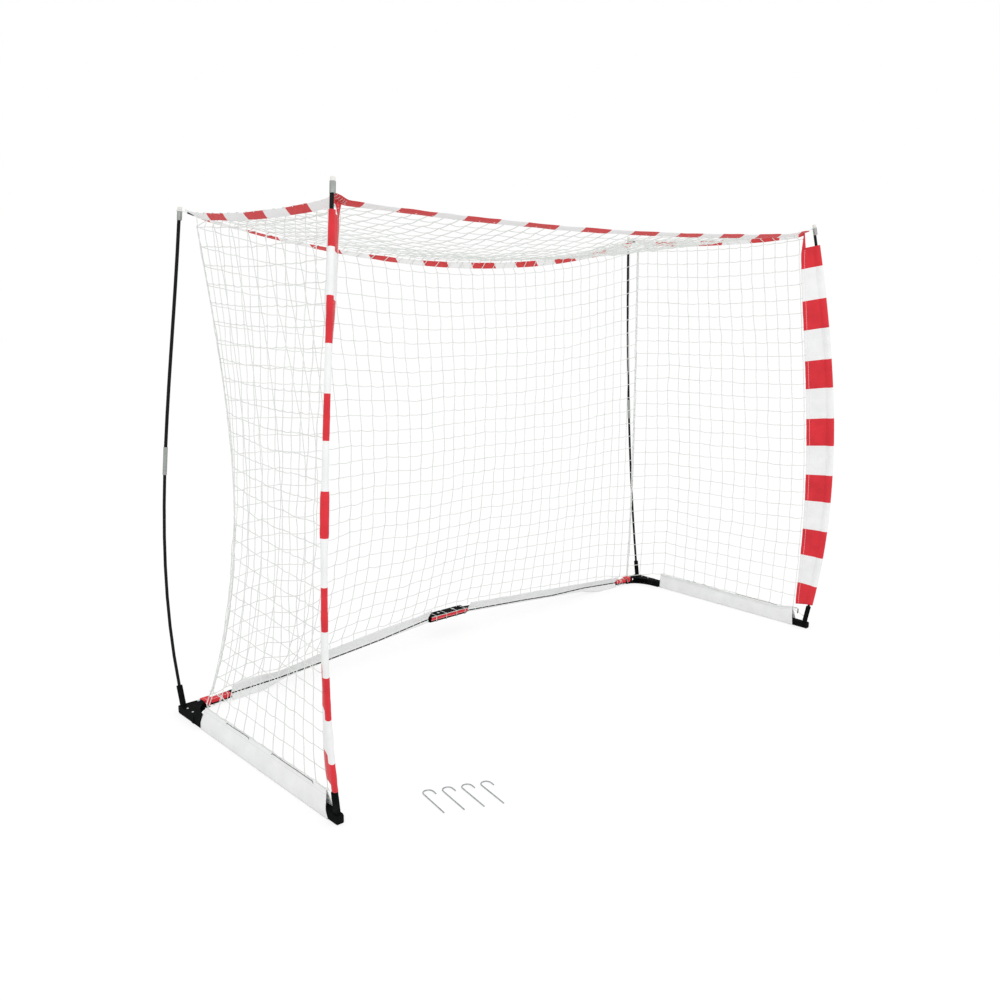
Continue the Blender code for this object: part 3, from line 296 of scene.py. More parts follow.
GLASS_FIBRE = pulled_or_turned(
    "pultruded_black_glass_fibre", "101111", "1d1e1e", {"IOR": 1.55, "Specular IOR Level": 0.06},
    (FIBRE_SPACING, FIBRE_SPACING, FIBRE_LENGTH), 0.30, 0.46,
)
DRAWN_TUBE = pulled_or_turned(
    "drawn_aluminium_tube", "989c98", "adb1ad", {"Metallic": 1.0},
    (TURNING_WIDTH, TURNING_WIDTH, TURNING_SPACING), 0.42, 0.58,
)
print("finishes", GLASS_FIBRE.name, DRAWN_TUBE.name)

# %% [markdown]
# ## Woven polyester
# Sleeves, skirts and covers are sewn from a plain-woven polyester of about 14 threads to the centimetre.
# Each sheet below carries a UV map in metres: across is the distance from its hem, along is the distance
# down the sheet. So the weave and the line of stitches follow the cloth round every fold. The real
# threads are 0.7 mm apart and are drawn at 2.1 mm, three times as coarse, because the picture could not
# show them. At scale 1 a wave texture makes 20 turns in 2 pi metres, and its scale is worked out from
# that. Polyester has a soft sheen at a glancing angle, and painted shade makes the cloth a little darker in
# its creases.

# %% Woven polyester cloth
WAVE_TURNS = 20
THREAD_SPACING = 0.0021
STITCH_FROM_HEM = 0.016
STITCH_LENGTH = 0.009
STITCH_WIDTH = 0.0016
STITCH_SHARE = 0.72


def stitches_on(tree, cloth):
    """One on the stitches of the line beside the hem, and zero elsewhere."""
    apart = add_node(tree, "SeparateXYZ", {}, {"Vector": cloth})
    off_line = add_node(
        tree, "Math", {"operation": "SUBTRACT", 1: STITCH_FROM_HEM}, {0: apart.outputs["X"]}
    ).outputs[0]
    near = add_node(tree, "Math", {"operation": "ABSOLUTE"}, {0: off_line}).outputs[0]
    on_line = add_node(tree, "Math", {"operation": "LESS_THAN", 1: STITCH_WIDTH / 2}, {0: near}).outputs[0]
    turns = add_node(
        tree, "Math", {"operation": "MULTIPLY", 1: 1 / STITCH_LENGTH}, {0: apart.outputs["Y"]}
    ).outputs[0]
    step = add_node(tree, "Math", {"operation": "FRACT"}, {0: turns}).outputs[0]
    thread = add_node(tree, "Math", {"operation": "LESS_THAN", 1: STITCH_SHARE}, {0: step}).outputs[0]
    return add_node(tree, "Math", {"operation": "MULTIPLY"}, {0: on_line, 1: thread}).outputs[0]


def woven_polyester(name, dark, light, stitch):
    """Plain weave on the sheet's UV map, painted shade in its creases, and a line of stitches beside the hem.
    """
    settings = {"Roughness": 0.72, "IOR": 1.5, "Sheen Weight": 0.06, "Sheen Roughness": 0.5}
    made, tree, shader, place = new_finish(name, settings)
    cloth = add_node(tree, "UVMap", {"uv_map": "cloth"}).outputs["UV"]
    threads = []
    for direction in ("X", "Y"):
        wave = {"Scale": 2 * math.pi / THREAD_SPACING / WAVE_TURNS, "bands_direction": direction}
        threads.append(add_node(tree, "TexWave", wave, {"Vector": cloth}).outputs["Fac"])
    weave = add_node(tree, "Math", {"operation": "MULTIPLY"}, {0: threads[0], 1: threads[1]}).outputs[0]
    crease = add_node(
        tree, "TexNoise", {"Scale": 14.0, "Detail": 4.0, "Roughness": 0.55}, {"Vector": place}
    ).outputs["Fac"]
    # Painted shade: the colour is darker where the crease noise is low, in the creases of the bump.
    crease_shade = add_node(tree, "MapRange", {"From Min": 0.3, "From Max": 0.7}, {"Value": crease})
    plain = add_node(
        tree, "Mix", two_shades(dark, light), {MIX_FACTOR: crease_shade.outputs["Result"]}
    ).outputs[MIX_RESULT]
    sewn = add_node(
        tree,
        "Mix",
        {"data_type": "RGBA", MIX_LIGHT: linear(stitch)},
        {MIX_FACTOR: stitches_on(tree, cloth), MIX_DARK: plain},
    )
    height = add_node(
        tree, "Math", {"operation": "MULTIPLY_ADD", 1: 0.25}, {0: weave, 2: crease}
    ).outputs[0]
    bump = add_node(tree, "Bump", {"Strength": 0.5, "Distance": 0.0012}, {"Height": height})
    feed(tree, shader, {"Base Color": sewn.outputs[MIX_RESULT], "Normal": bump.outputs["Normal"]})
    return made


RED_CLOTH = woven_polyester("woven_red_polyester", "cb1827", "de2230", "f0c9c9")
WHITE_CLOTH = woven_polyester("woven_white_polyester", "e9eaea", "f1f2f2", "dadada")
print("finishes", RED_CLOTH.name, WHITE_CLOTH.name)

# %% [markdown]
# ## Webbing and cord
# The strips round the top are polyester webbing, whose thick weft makes ribs across the tape, drawn every
# 2.4 mm. The net is braided polyethylene cord of about 3 mm, and the lacing is the same cord. Its braid
# is too fine to show at this distance, so the cord has a short noise along it for the shadows between its
# strands, and a slight warm grey.

# %% Webbing and net cord
RIB_SPACING = 0.0024


def ribbed_webbing(name, dark, light):
    """Tape with ribs across it on its UV map, and a slow drift of colour."""
    made, tree, shader, place = new_finish(name, {"Roughness": 0.68, "IOR": 1.5, "Sheen Weight": 0.1})
    cloth = add_node(tree, "UVMap", {"uv_map": "cloth"}).outputs["UV"]
    wave = {"Scale": 2 * math.pi / RIB_SPACING / WAVE_TURNS, "bands_direction": "Y", "Distortion": 0.4}
    ribs = add_node(tree, "TexWave", wave, {"Vector": cloth}).outputs["Fac"]
    slow = add_node(tree, "TexNoise", {"Scale": 26.0, "Detail": 3.0}, {"Vector": place})
    colour = add_node(tree, "Mix", two_shades(dark, light), {MIX_FACTOR: slow.outputs["Fac"]})
    bump = add_node(tree, "Bump", {"Strength": 0.45, "Distance": 0.0006}, {"Height": ribs})
    feed(tree, shader, {"Base Color": colour.outputs[MIX_RESULT], "Normal": bump.outputs["Normal"]})
    return made


def braided_cord(name, dark, light):
    """Cord with short shadows between its strands, and patches where it has aged."""
    made, tree, shader, place = new_finish(name, {"Roughness": 0.6, "IOR": 1.5, "Sheen Weight": 0.08})
    strands = add_node(tree, "TexNoise", {"Scale": 420.0, "Detail": 1.0}, {"Vector": place})
    aged = add_node(tree, "TexNoise", {"Scale": 9.0, "Detail": 2.0}, {"Vector": place})
    shade = add_node(
        tree, "MapRange", {"From Min": 0.3, "From Max": 0.7}, {"Value": aged.outputs["Fac"]}
    ).outputs["Result"]
    colour = add_node(tree, "Mix", two_shades(dark, light), {MIX_FACTOR: shade})
    bump = add_node(tree, "Bump", {"Strength": 0.5, "Distance": 0.0006}, {"Height": strands.outputs["Fac"]})
    feed(tree, shader, {"Base Color": colour.outputs[MIX_RESULT], "Normal": bump.outputs["Normal"]})
    return made


RED_WEBBING = ribbed_webbing("woven_red_webbing", "c22026", "da3033")
WHITE_WEBBING = ribbed_webbing("woven_white_webbing", "e9e9e9", "f3f2f2")
NET_CORD = braided_cord("braided_white_polyethylene_cord", "dadeda", "e7eae6")
BLACK_CORD = braided_cord("braided_black_polyester_cord", "151616", "242626")
print("finishes", RED_WEBBING.name, WHITE_WEBBING.name, NET_CORD.name, BLACK_CORD.name)

# %% [markdown]
# ## The CAD pieces' finishes
# Bars, brackets, pins, poles, ferrules and pegs keep their CAD shape, because a rigid piece is already
# right there. Each gets the finish of its kind in its material slots, by how its name starts.

# %% Give the rigid CAD nodes their finishes
FINISH_OF = (
    (POWDER_COAT, ("side_bar_", "rear_bar_", "corner_bracket_", "centre_bracket")),
    (CAP_PLASTIC, ("end_cap_",)),
    (ZINC_PLATE, ("rivet_", "corner_pin_", "centre_pin_")),
    (GLASS_FIBRE, ("lower_pole_", "upper_pole_")),
    (DRAWN_TUBE, ("mid_ferrule_",)),
    (GALVANISED_WIRE, ("peg_",)),
)


def refinish(node_name, finish):
    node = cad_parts[node_name]
    if not node.material_slots:
        node.data.materials.append(finish)
    for slot in node.material_slots:
        slot.material = finish


refinished = []
for node_name in sorted(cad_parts):
    for finish, starts in FINISH_OF:
        if node_name.startswith(starts):
            refinish(node_name, finish)
            refinished.append(node_name)
print("rigid nodes refinished", len(refinished))

# %% [markdown]
# ## The sprung poles' line
# Sleeves, nets and cords all hang from the poles, so their shape has to be known here too. A pole stands
# straight in its leaning socket, bows in the air and ends in a straight tip. Between socket and tip it is
# a smooth cubic curve, given by its two ends and the direction it has at each.

# %% The line of a pole
SIDE_BAR_X = 1.505
SOCKET_Y = 0.586
BAR_TOP = 0.0323
PLATE_TOP = 0.0346
PLAY = 0.0003
SOCKET_LENGTH = 0.088
FERRULE_HEIGHT = 1.075
FERRULE_LENGTH = 0.115
TIP_LENGTH = 0.055
FOOT_LEAN = {-1: (0.162, 0.105), 1: (0.055, 0.194)}
TIP_LEAN = {-1: (-0.151, -0.155), 1: (-0.089, -0.041)}
TIP_PLACE = {-1: (1.415, -0.511, 2.119), 1: (1.370, 0.646, 2.091)}
SEAT = {-1: BAR_TOP + PLAY, 1: PLATE_TOP + PLAY}
SIDES = {"left": -1, "right": 1}
ENDS = {"front": -1, "rear": 1}


class PoleLine:
    """Centre line of one pole, from the foot in its socket to the tip."""

    def __init__(self, side, end):
        lean, tip_lean, tip = FOOT_LEAN[end], TIP_LEAN[end], TIP_PLACE[end]
        self.base = Vector((side * SIDE_BAR_X, end * SOCKET_Y, SEAT[end]))
        self.foot_slope = Vector((side * lean[0], end * lean[1], 1.0))
        self.tip_slope = Vector((side * tip_lean[0], end * tip_lean[1], 1.0))
        self.tip_axis = self.tip_slope.normalized()
        self.tip_turn = Vector((0, 0, 1)).rotation_difference(self.tip_axis).to_matrix()
        self.tip = Vector((side * tip[0], tip[1], tip[2]))
        self.mouth = self.base + self.foot_slope.normalized() * SOCKET_LENGTH
        self.neck = self.tip - self.tip_axis * TIP_LENGTH
        self.low = self.bowed(FERRULE_HEIGHT - FERRULE_LENGTH / 2)
        self.high = self.bowed(FERRULE_HEIGHT + FERRULE_LENGTH / 2)

    def bowed(self, height):
        """A place on the cubic curve between socket and tip."""
        rise = self.neck.z - self.mouth.z
        t = (height - self.mouth.z) / rise
        return (
            self.mouth * (2 * t**3 - 3 * t**2 + 1)
            + self.foot_slope * rise * (t**3 - 2 * t**2 + t)
            + self.neck * (3 * t**2 - 2 * t**3)
            + self.tip_slope * rise * (t**3 - t**2)
        )

    def at(self, height):
        """A place on the whole pole. It is straight in the socket, in the mid ferrule and at the tip."""
        if height <= self.mouth.z:
            return self.base + self.foot_slope * (height - self.base.z)
        if height >= self.neck.z:
            return self.neck + self.tip_slope * (height - self.neck.z)
        if self.low.z < height < self.high.z:
            return self.low.lerp(self.high, (height - self.low.z) / (self.high.z - self.low.z))
        return self.bowed(height)


POLES = {(side, end): PoleLine(side, end) for side in (-1, 1) for end in (-1, 1)}
print("front pole at half height", [round(value, 3) for value in POLES[(-1, -1)].at(1.0)])

# %% [markdown]
# ## Places and values in between
# Rows of cloth, edges of stripes and directions are all given at a few places, and everything between
# them is worked out. Six small helpers do that. The unevenness of cloth and cord is a smooth noise that
# is read at a point's own place, so it is the same at each run and neighbouring points move together.

# %% Helpers for values in between
def between(start, end, share):
    """The value at a share of the way from start to end."""
    return start + (end - start) * share


def kept_within(value, low=0.0, high=1.0):
    """The value itself, or the nearer limit where it lies outside them."""
    return min(max(value, low), high)


def along_points(points, place):
    """The value at a place in a list of places and values, with straight stretches between them."""
    if place <= points[0][0]:
        return points[0][1]
    for (near, low), (far, high) in zip(points, points[1:]):
        if place <= far:
            return between(low, high, (place - near) / (far - near))
    return points[-1][1]


def spaced(start, end, spacing):
    """Places from start to end, evenly and about as far apart as the spacing."""
    steps = max(1, round(abs(end - start) / spacing))
    return [between(start, end, step / steps) for step in range(steps + 1)]


def spaced_through(marks, spacing):
    """The same through a list of marks, each of which is one of the places."""
    places = []
    for start, end in zip(marks, marks[1:]):
        places += spaced(start, end, spacing)[:-1]
    return places + [marks[-1]]


def lengths_along(points):
    """Distance from the first point to each point of a line."""
    reach = [0.0]
    for before, after in zip(points, points[1:]):
        reach.append(reach[-1] + math.dist(before, after))
    return reach


def wander(place, size, seed):
    """A smooth and repeatable unevenness in all directions, up to about one."""
    spot = place / size + Vector((seed * 7.3, seed * 3.1, seed * 5.7))
    return Vector([noise.noise(spot + Vector((0, apart, 2 * apart))) for apart in (9.3, 21.7, 40.1)])


print("a metre at 22 mm gives", len(spaced(0.0, 1.0, 0.022)), "places")

# %% [markdown]
# ## Making a piece of a sheet
# Every cloth here starts as a flat grid and is bent into its place point by point, the way a sewn sheet
# is laid over a form. The grid's columns and rows are given in metres of cloth and may lie closer
# together where a stripe or a hem needs it, and they become the UV map. Thickness and smoothing come from
# modifiers, which are applied at once, so that what rides on the frame is a plain mesh.

# %% Sheets from a grid
def bent_sheet(columns, rows, place, cloth_of=lambda row: 0):
    """A grid bent by place(column, row), with a UV map in metres and a finish for each row of faces."""
    bm = bmesh.new()
    uv = bm.loops.layers.uv.new("cloth")
    across, along = len(columns) - 1, len(rows) - 1
    bmesh.ops.create_grid(bm, x_segments=across, y_segments=along, size=0.5)
    spot = {}
    for vert in bm.verts:
        spot[vert] = (round((vert.co.x + 0.5) * across), round((vert.co.y + 0.5) * along))
    for face in bm.faces:
        face.material_index = cloth_of(min(spot[vert][1] for vert in face.verts))
        for loop in face.loops:
            column, row = spot[loop.vert]
            loop[uv].uv = (columns[column], rows[row])
    for vert, (column, row) in spot.items():
        vert.co = place(column, row)
    bm.normal_update()
    return bm


def made_piece(bm, name, finishes, thickness=0.0, smoothing=0):
    """A finished mesh object: moved with the frame, smoothed, thickened and applied."""
    bmesh.ops.translate(bm, verts=bm.verts[:], vec=FRAME_SHIFT)
    mesh = bpy.data.meshes.new(name)
    bm.to_mesh(mesh)
    bm.free()
    for finish in finishes:
        mesh.materials.append(finish)
    mesh.shade_smooth()
    piece = bpy.data.objects.new(name, mesh)
    bpy.context.scene.collection.objects.link(piece)
    if smoothing:
        subdivide = piece.modifiers.new("smoothing", "SUBSURF")
        subdivide.levels = smoothing
        subdivide.render_levels = smoothing
        subdivide.boundary_smooth = "PRESERVE_CORNERS"
    if thickness:
        solid = piece.modifiers.new("thickness", "SOLIDIFY")
        solid.thickness = thickness
        solid.offset = 0.0
    if piece.modifiers:
        graph = bpy.context.evaluated_depsgraph_get()
        piece.data = bpy.data.meshes.new_from_object(piece.evaluated_get(graph))
        piece.modifiers.clear()
    piece.data.calc_loop_triangles()
    print(name, len(piece.data.loop_triangles), "triangles")
    return piece


print("sheet tools ready")

# %% [markdown]
# ## Striped sleeves
# Each front pole runs in a long striped panel of cloth. A sheet is folded round the pole, sewn together 2
# cm inside it to make the pocket, and hemmed along its inner edge, where the net is tied. It is widest in
# the middle, so it has the shape of a flat D. It could be a cloth simulation, but it is stretched tight
# over its whole length, so the folded section is simply carried along the pole, at right angles to it,
# and small puckers are added at the seam. The pocket is roomier where the pole's ferrule fills it, and
# the lower inner corner of the right sleeve hangs down a little. The stripes are separate lengths of red
# and white cloth, so the rows of the grid lie exactly on their edges.

# %% Shape of a sleeve
STRIPES = {
    -1: (2.015, 1.904, 1.758, 1.614, 1.462, 1.318, 1.163, 1.015, 0.858, 0.712, 0.556, 0.404, 0.241, 0.130),
    1: (2.015, 1.916, 1.758, 1.611, 1.453, 1.306, 1.147, 1.001, 0.842, 0.696, 0.537, 0.390, 0.232, 0.130),
}
SLEEVE_TOP = STRIPES[1][0]
SLEEVE_FOOT = STRIPES[1][-1]
SLEEVE_TURNS = {
    -1: ((0.0, 14.0), (0.17, 25.0), (0.70, 34.0), (0.865, 42.0), (1.0, 48.0)),
    1: ((0.0, 9.0), (0.17, 23.0), (0.70, 34.0), (0.865, 42.0), (1.0, 48.0)),
}
SLEEVE_END_WIDTH = 0.075
SLEEVE_MIDDLE_WIDTH = 0.122


def sleeve_share(height):
    return kept_within((height - SLEEVE_FOOT) / (SLEEVE_TOP - SLEEVE_FOOT))


def sleeve_width(height):
    """Distance from the pole to the inner edge."""
    bulge = math.sin(math.pi * sleeve_share(height)) ** 0.6
    return between(SLEEVE_END_WIDTH, SLEEVE_MIDDLE_WIDTH, bulge)


def sleeve_inward(side, height):
    """Direction from the pole to the inner edge. The panel twists on its way up."""
    turn = math.radians(along_points(SLEEVE_TURNS[side], sleeve_share(height)))
    return Vector((-side * math.sin(turn), math.cos(turn), 0))


def sleeve_edge(side, height):
    """The sleeve's inner edge, where the side net is tied."""
    return POLES[(side, -1)].at(height) + sleeve_inward(side, height) * sleeve_width(height)


print("the sleeve is", round(sleeve_width(1.0), 3), "m wide at half height")

# %% Section of the folded cloth
POCKET_SEAM = 0.022
POCKET_OUT = 0.0160
POCKET_HALF = 0.0112
FLAT_START = 0.030
HEM_SECTION = ((0.0, 0.0010), (0.003, 0.0017), (0.010, 0.0019), (0.015, 0.0016), (0.018, 0.0009))
FERRULE_ROOM = 0.0042
FERRULE_ROOM_END = 0.05


def room_for_ferrule(height):
    """How much wider the pocket is at a height, where the ferrule fills it."""
    away = abs(height - FERRULE_HEIGHT) - FERRULE_LENGTH / 2
    return FERRULE_ROOM * kept_within(1.0 - away / FERRULE_ROOM_END)


def folded_section(width, room=0.0):
    """Half of the folded cloth, from the hem to the outermost point of the pocket, as inward and sideways."""
    half = [(width - back, thick) for back, thick in HEM_SECTION]
    hem_end = half[-1][0]
    half += [(between(hem_end, FLAT_START, share), 0.0011) for share in (0.33, 0.66)]
    half += [(0.029, 0.0010), (POCKET_SEAM, 0.0008)]
    half += [(0.018, 0.0040 + room * 0.4), (0.011, 0.0080 + room * 0.8)]
    for turn in (90, 60, 30, 0):
        angle = math.radians(turn)
        half.append((-(POCKET_OUT + room * 0.3) * math.cos(angle), (POCKET_HALF + room) * math.sin(angle)))
    return half


print("half of the section has", len(folded_section(sleeve_width(1.0))), "points")

# %% Striped sleeves on the front poles
SLEEVE_CLOTH = 0.0009
ROW_SPACING = 0.018
FOOT_CORNER_DROP = {-1: 0.0, 1: 0.020}
FOOT_CORNER_REACH = 0.10
SLEEVE_CUT_SHARE = 0.93
SLEEVE_SWAY = 0.0022
SLEEVE_PUCKER = 0.18
HEM_UNEVEN = 0.0018


def sleeve(side, name):
    """One sleeve, with the width of its cloth unfolded and its length along the pole."""
    pole = POLES[(side, -1)]
    stripes = STRIPES[side]
    rows = spaced_through(stripes, ROW_SPACING)
    band_of = [sum(1 for edge in stripes[1:-1] if height <= edge + 1e-6) for height in rows]
    reach = lengths_along(folded_section(sleeve_width(1.0)))
    columns = reach + reach[-2::-1]

    def place(column, row):
        height = rows[row]
        section = folded_section(sleeve_width(height), room_for_ferrule(height))
        folded = column if column < len(section) else 2 * len(section) - 2 - column
        way = 1 if column < len(section) else -1
        inward = sleeve_inward(side, height)
        ahead = (pole.at(height + 0.004) - pole.at(height - 0.004)).normalized()
        in_sheet = (inward - ahead * inward.dot(ahead)).normalized()
        across = ahead.cross(in_sheet)
        depth, aside = section[folded]
        centre = pole.at(height)
        loose = wander(centre + in_sheet * depth * 0.6, 0.085, 2 + side)
        pucker = wander(centre + in_sheet * depth, 0.021, 5 + side)
        sway = SLEEVE_SWAY * loose.x if depth > 0 else 0.0
        bulge = 1.0 + SLEEVE_PUCKER * pucker.y * (1.0 if depth < POCKET_SEAM else 0.4)
        edge = HEM_UNEVEN * pucker.z if folded < 3 else 0.0
        near_foot = max(0.0, 1 - (height - SLEEVE_FOOT) / FOOT_CORNER_REACH)
        down = FOOT_CORNER_DROP[side] * near_foot * max(0.0, depth) / sleeve_width(height)
        return centre + in_sheet * (depth + edge) + across * (way * aside * bulge + sway) - ahead * down

    bm = bent_sheet(columns, [-height for height in rows], place, lambda row: band_of[row] % 2)
    piece = made_piece(bm, name, (RED_CLOTH, WHITE_CLOTH), thickness=SLEEVE_CLOTH, smoothing=1)
    return piece, 2 * reach[-1], lengths_along([pole.at(height) for height in rows])[-1]


for word, side in SIDES.items():
    piece, flat_width, length = sleeve(side, "striped_sleeve_" + word)
    area = flat_width * length * SLEEVE_CUT_SHARE
    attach(piece, "lower_front_" + word)
    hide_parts("sleeve_" + word)
    print("sleeve", word, "flat", round(flat_width, 3), "by", round(length, 3))

# %% [markdown]
# ## Striped strips round the top
# A webbing tape 32 mm wide runs between the tips of the poles on all four sides and carries the net. Its
# own weight and the net's pull make it sag, so each strip follows a shallow arc. The front one, the
# crossbar, lies tilted with its front edge up. The tilt of the crossbar and of the rear strip changes
# along them. The stripes were measured along each strip. The rear strip has to fold with the rear bar, so
# it is made in four lengths.

# %% Lines of the strips
CROSSBAR_SAG = 0.038
CROSSBAR_PULL = 0.020
SIDE_SAG = 0.020
REAR_SAG = 0.158
REAR_PULL = 0.060
FRONT_CORNER_IN = 0.037
FRONT_DROP = {-1: 0.072, 1: 0.055}
REAR_CORNER_OFF = (0.020, 0.061, 0.039)


def sagging(start, end, sag, pull, share):
    """A place on a line that hangs down and is pulled to the rear in its middle."""
    bow = 4 * share * (1 - share)
    return start.lerp(end, share) + Vector((0, pull * bow, -sag * bow))


def front_corner(side):
    """Where the crossbar and a side strip meet, under and inside the tip of the front pole."""
    return POLES[(side, -1)].tip + Vector((-side * FRONT_CORNER_IN, FRONT_CORNER_IN, -FRONT_DROP[side]))


def rear_corner(side):
    """Where the rear strip and a side strip meet, under and in front of the tip of the rear pole."""
    across, forward, down = REAR_CORNER_OFF
    return POLES[(side, 1)].tip - Vector((side * across, forward, down))


def crossbar_line(share):
    return sagging(front_corner(-1), front_corner(1), CROSSBAR_SAG, CROSSBAR_PULL, share)


def rear_line(share):
    return sagging(rear_corner(-1), rear_corner(1), REAR_SAG, -REAR_PULL, share)


def side_line(side, share):
    return sagging(front_corner(side), rear_corner(side), SIDE_SAG, 0.0, share)


print("crossbar is", round((front_corner(1) - front_corner(-1)).length, 3), "m between its ends")

# %% [markdown]
# A strip doesn't stop at the corner: its end is drawn up to the pole's tip and bunched narrower there. So
# the last few centimetres of a strip's line are pulled towards the tip, most at the very end, and the
# tape loses width. The tape itself is a grid of six columns, bent along that line. Its width turns with
# the lean of the strip, and it is slightly cupped and uneven, because webbing that is pulled at its edges
# never lies quite flat. Rows are placed on the stripes' edges, as on the sleeves.

# %% Lines that are drawn up and measured
TIP_RADIUS = 0.0100
CORD_OFF_TIP = 0.0010
LINE_STEPS = 600


def tip_hold(side, end, up):
    """Where a cord or tape meets the tube of a pole's tip, on the side that faces the strips' corner."""
    pole = POLES[(side, end)]
    corner = front_corner(side) if end < 0 else rear_corner(side)
    centre = pole.neck + pole.tip_axis * up
    return centre + (corner - centre).normalized() * (TIP_RADIUS + CORD_OFF_TIP)


def drawn_up(line, pulls, spans):
    """A line whose two ends are pulled aside by a vector each, each over a share of its length."""

    def pulled(share):
        near_start = max(0.0, 1 - share / spans[0]) ** 2
        near_end = max(0.0, 1 - (1 - share) / spans[1]) ** 2
        return line(share) + pulls[0] * near_start + pulls[1] * near_end

    return pulled


def measured(line):
    """A line's length, a function from distance to share, and one from share to distance."""
    reach = lengths_along([line(step / LINE_STEPS) for step in range(LINE_STEPS + 1)])

    def share_at(distance):
        for step in range(LINE_STEPS):
            if reach[step + 1] >= distance:
                part = (distance - reach[step]) / (reach[step + 1] - reach[step])
                return (step + part) / LINE_STEPS
        return 1.0

    def distance_at(share):
        step = min(int(share * LINE_STEPS), LINE_STEPS - 1)
        return between(reach[step], reach[step + 1], share * LINE_STEPS - step)

    return reach[-1], share_at, distance_at


def leaning(stops):
    """The direction of a tape's width along its line, between pairs of a share and a direction."""

    def lean(share):
        for (near, first), (far, last) in zip(stops, stops[1:]):
            if share <= far:
                return Vector(first).lerp(Vector(last), (share - near) / (far - near)).normalized()
        return Vector(stops[-1][1]).normalized()

    return lean


def way_along(line, share):
    """The direction in which a line runs at a share."""
    return (line(min(share + 1e-3, 1.0)) - line(max(share - 1e-3, 0.0))).normalized()


def tape_frame(line, share, lean):
    """Centre of a tape, and the directions along it, across its width and out of its face."""
    ahead = way_along(line, share)
    way = lean(share)
    wide = (way - ahead * way.dot(ahead)).normalized()
    return line(share), ahead, wide, ahead.cross(wide)


print("the rear strip's line is", round(measured(rear_line)[0], 3), "m long")

# %% A tape along part of a line
STRIP_WIDTH = 0.032
STRIP_CLOTH = 0.0016
HALF_STRIP = STRIP_WIDTH / 2
TAPE_COLUMNS = (-HALF_STRIP, -0.0145, -0.005, 0.005, 0.0145, HALF_STRIP)
TAPE_ROWS = 0.014
TAPE_CUP = 0.0016
TAPE_CRUMPLE = 0.0035
TAPE_LIFT = 0.0016
TAPE_TWIST = 0.18


def tape(name, line, ruler, lean, span, reds, narrow, seed, keep=0.0):
    """A webbing tape along part of a line. Its stripes are measured along the ruler, which is the same line
    before its ends were drawn up. narrow holds a share of the width and a length for each end, and keep is
    the edge that stays straight there."""
    whole, share_at, distance_at = measured(line)
    ruler_share = measured(ruler)[1]
    first, last = distance_at(span[0]), distance_at(span[1])
    bands = [[distance_at(ruler_share(edge)) for edge in band] for band in reds]
    marks = sorted({first, last} | {edge for band in bands for edge in band if first < edge < last})
    rows = spaced_through(marks, TAPE_ROWS)

    def width_share(distance):
        share = 1.0
        for (least, length), gone in zip(narrow, (distance, whole - distance)):
            if gone < length:
                share = min(share, between(least, 1.0, math.sin(math.pi / 2 * gone / length)))
        return share

    def place(column, row):
        centre, ahead, wide, thick = tape_frame(line, share_at(rows[row]), lean)
        width = width_share(rows[row])
        across = TAPE_COLUMNS[column]
        offset = keep * HALF_STRIP + (across - keep * HALF_STRIP) * width
        uneven = wander(centre, 0.11, seed)
        cup = TAPE_CUP * (1 - (across / HALF_STRIP) ** 2) + TAPE_CRUMPLE * (1 - width) * (column % 2)
        return centre + wide * offset + thick * (cup + TAPE_LIFT * uneven.x + offset * TAPE_TWIST * uneven.y)

    def cloth_of(row):
        middle = (rows[row] + rows[row + 1]) / 2
        return 0 if any(start <= middle <= end for start, end in bands) else 1

    bm = bent_sheet([HALF_STRIP + across for across in TAPE_COLUMNS], rows, place, cloth_of)
    piece = made_piece(bm, name, (RED_WEBBING, WHITE_WEBBING), thickness=STRIP_CLOTH, smoothing=1)
    shares = [width_share((before + after) / 2) for before, after in zip(rows, rows[1:])]
    area = STRIP_WIDTH * sum(share * (after - before) for share, before, after in zip(shares, rows, rows[1:]))
    return piece, rows[-1] - rows[0], area


print("a tape has", len(TAPE_COLUMNS), "columns of points")

# %% How the strips lean and end
CROSSBAR_LEAN = leaning(((0.0, (0, -0.93, 0.36)), (1.0, (0, -0.86, 0.50))))
REAR_LEAN = leaning((
    (0.0, (0, -0.90, -0.43)),
    (0.13, (0, -0.90, -0.43)),
    (0.33, (0, -0.72, -0.69)),
    (0.50, (0, -0.52, -0.85)),
    (1.0, (0, -0.50, -0.87)),
))
SIDE_WAY = {side: (-side * 0.65, 0, -0.76) for side in (-1, 1)}
SIDE_LEAN = {side: leaning(((0.0, way), (1.0, way))) for side, way in SIDE_WAY.items()}
FRONT_HOLD_UP = {-1: 0.006, 1: 0.040}
FRONT_TAPE_REACH = {-1: 1.0, 1: 0.62}
REAR_HOLD_UP = 0.037
REAR_TAPE_REACH = 0.42
REAR_TAPE_LIFT = Vector((0, 0, 0.005))
CROSSBAR_ENDS = (0.015, 0.070)
REAR_ENDS = (0.033, 0.033)
SIDE_ENDS = (0.085, 0.085)


def side_ruler(side):
    def line(share):
        return side_line(side, share)

    return line


front_pull = {}
rear_pull = {}
side_run = {}
for side in SIDES.values():
    front_pull[side] = (tip_hold(side, -1, FRONT_HOLD_UP[side]) - front_corner(side)) * FRONT_TAPE_REACH[side]
    rear_pull[side] = (tip_hold(side, 1, REAR_HOLD_UP) - rear_corner(side)) * REAR_TAPE_REACH + REAR_TAPE_LIFT
    side_run[side] = drawn_up(side_ruler(side), (front_pull[side] * 0.3, rear_pull[side]), SIDE_ENDS)
crossbar_run = drawn_up(crossbar_line, (front_pull[-1], front_pull[1]), CROSSBAR_ENDS)
rear_run = drawn_up(rear_line, (rear_pull[-1], rear_pull[1]), REAR_ENDS)
print("crossbar tape is", round(measured(crossbar_run)[0], 3), "m long")

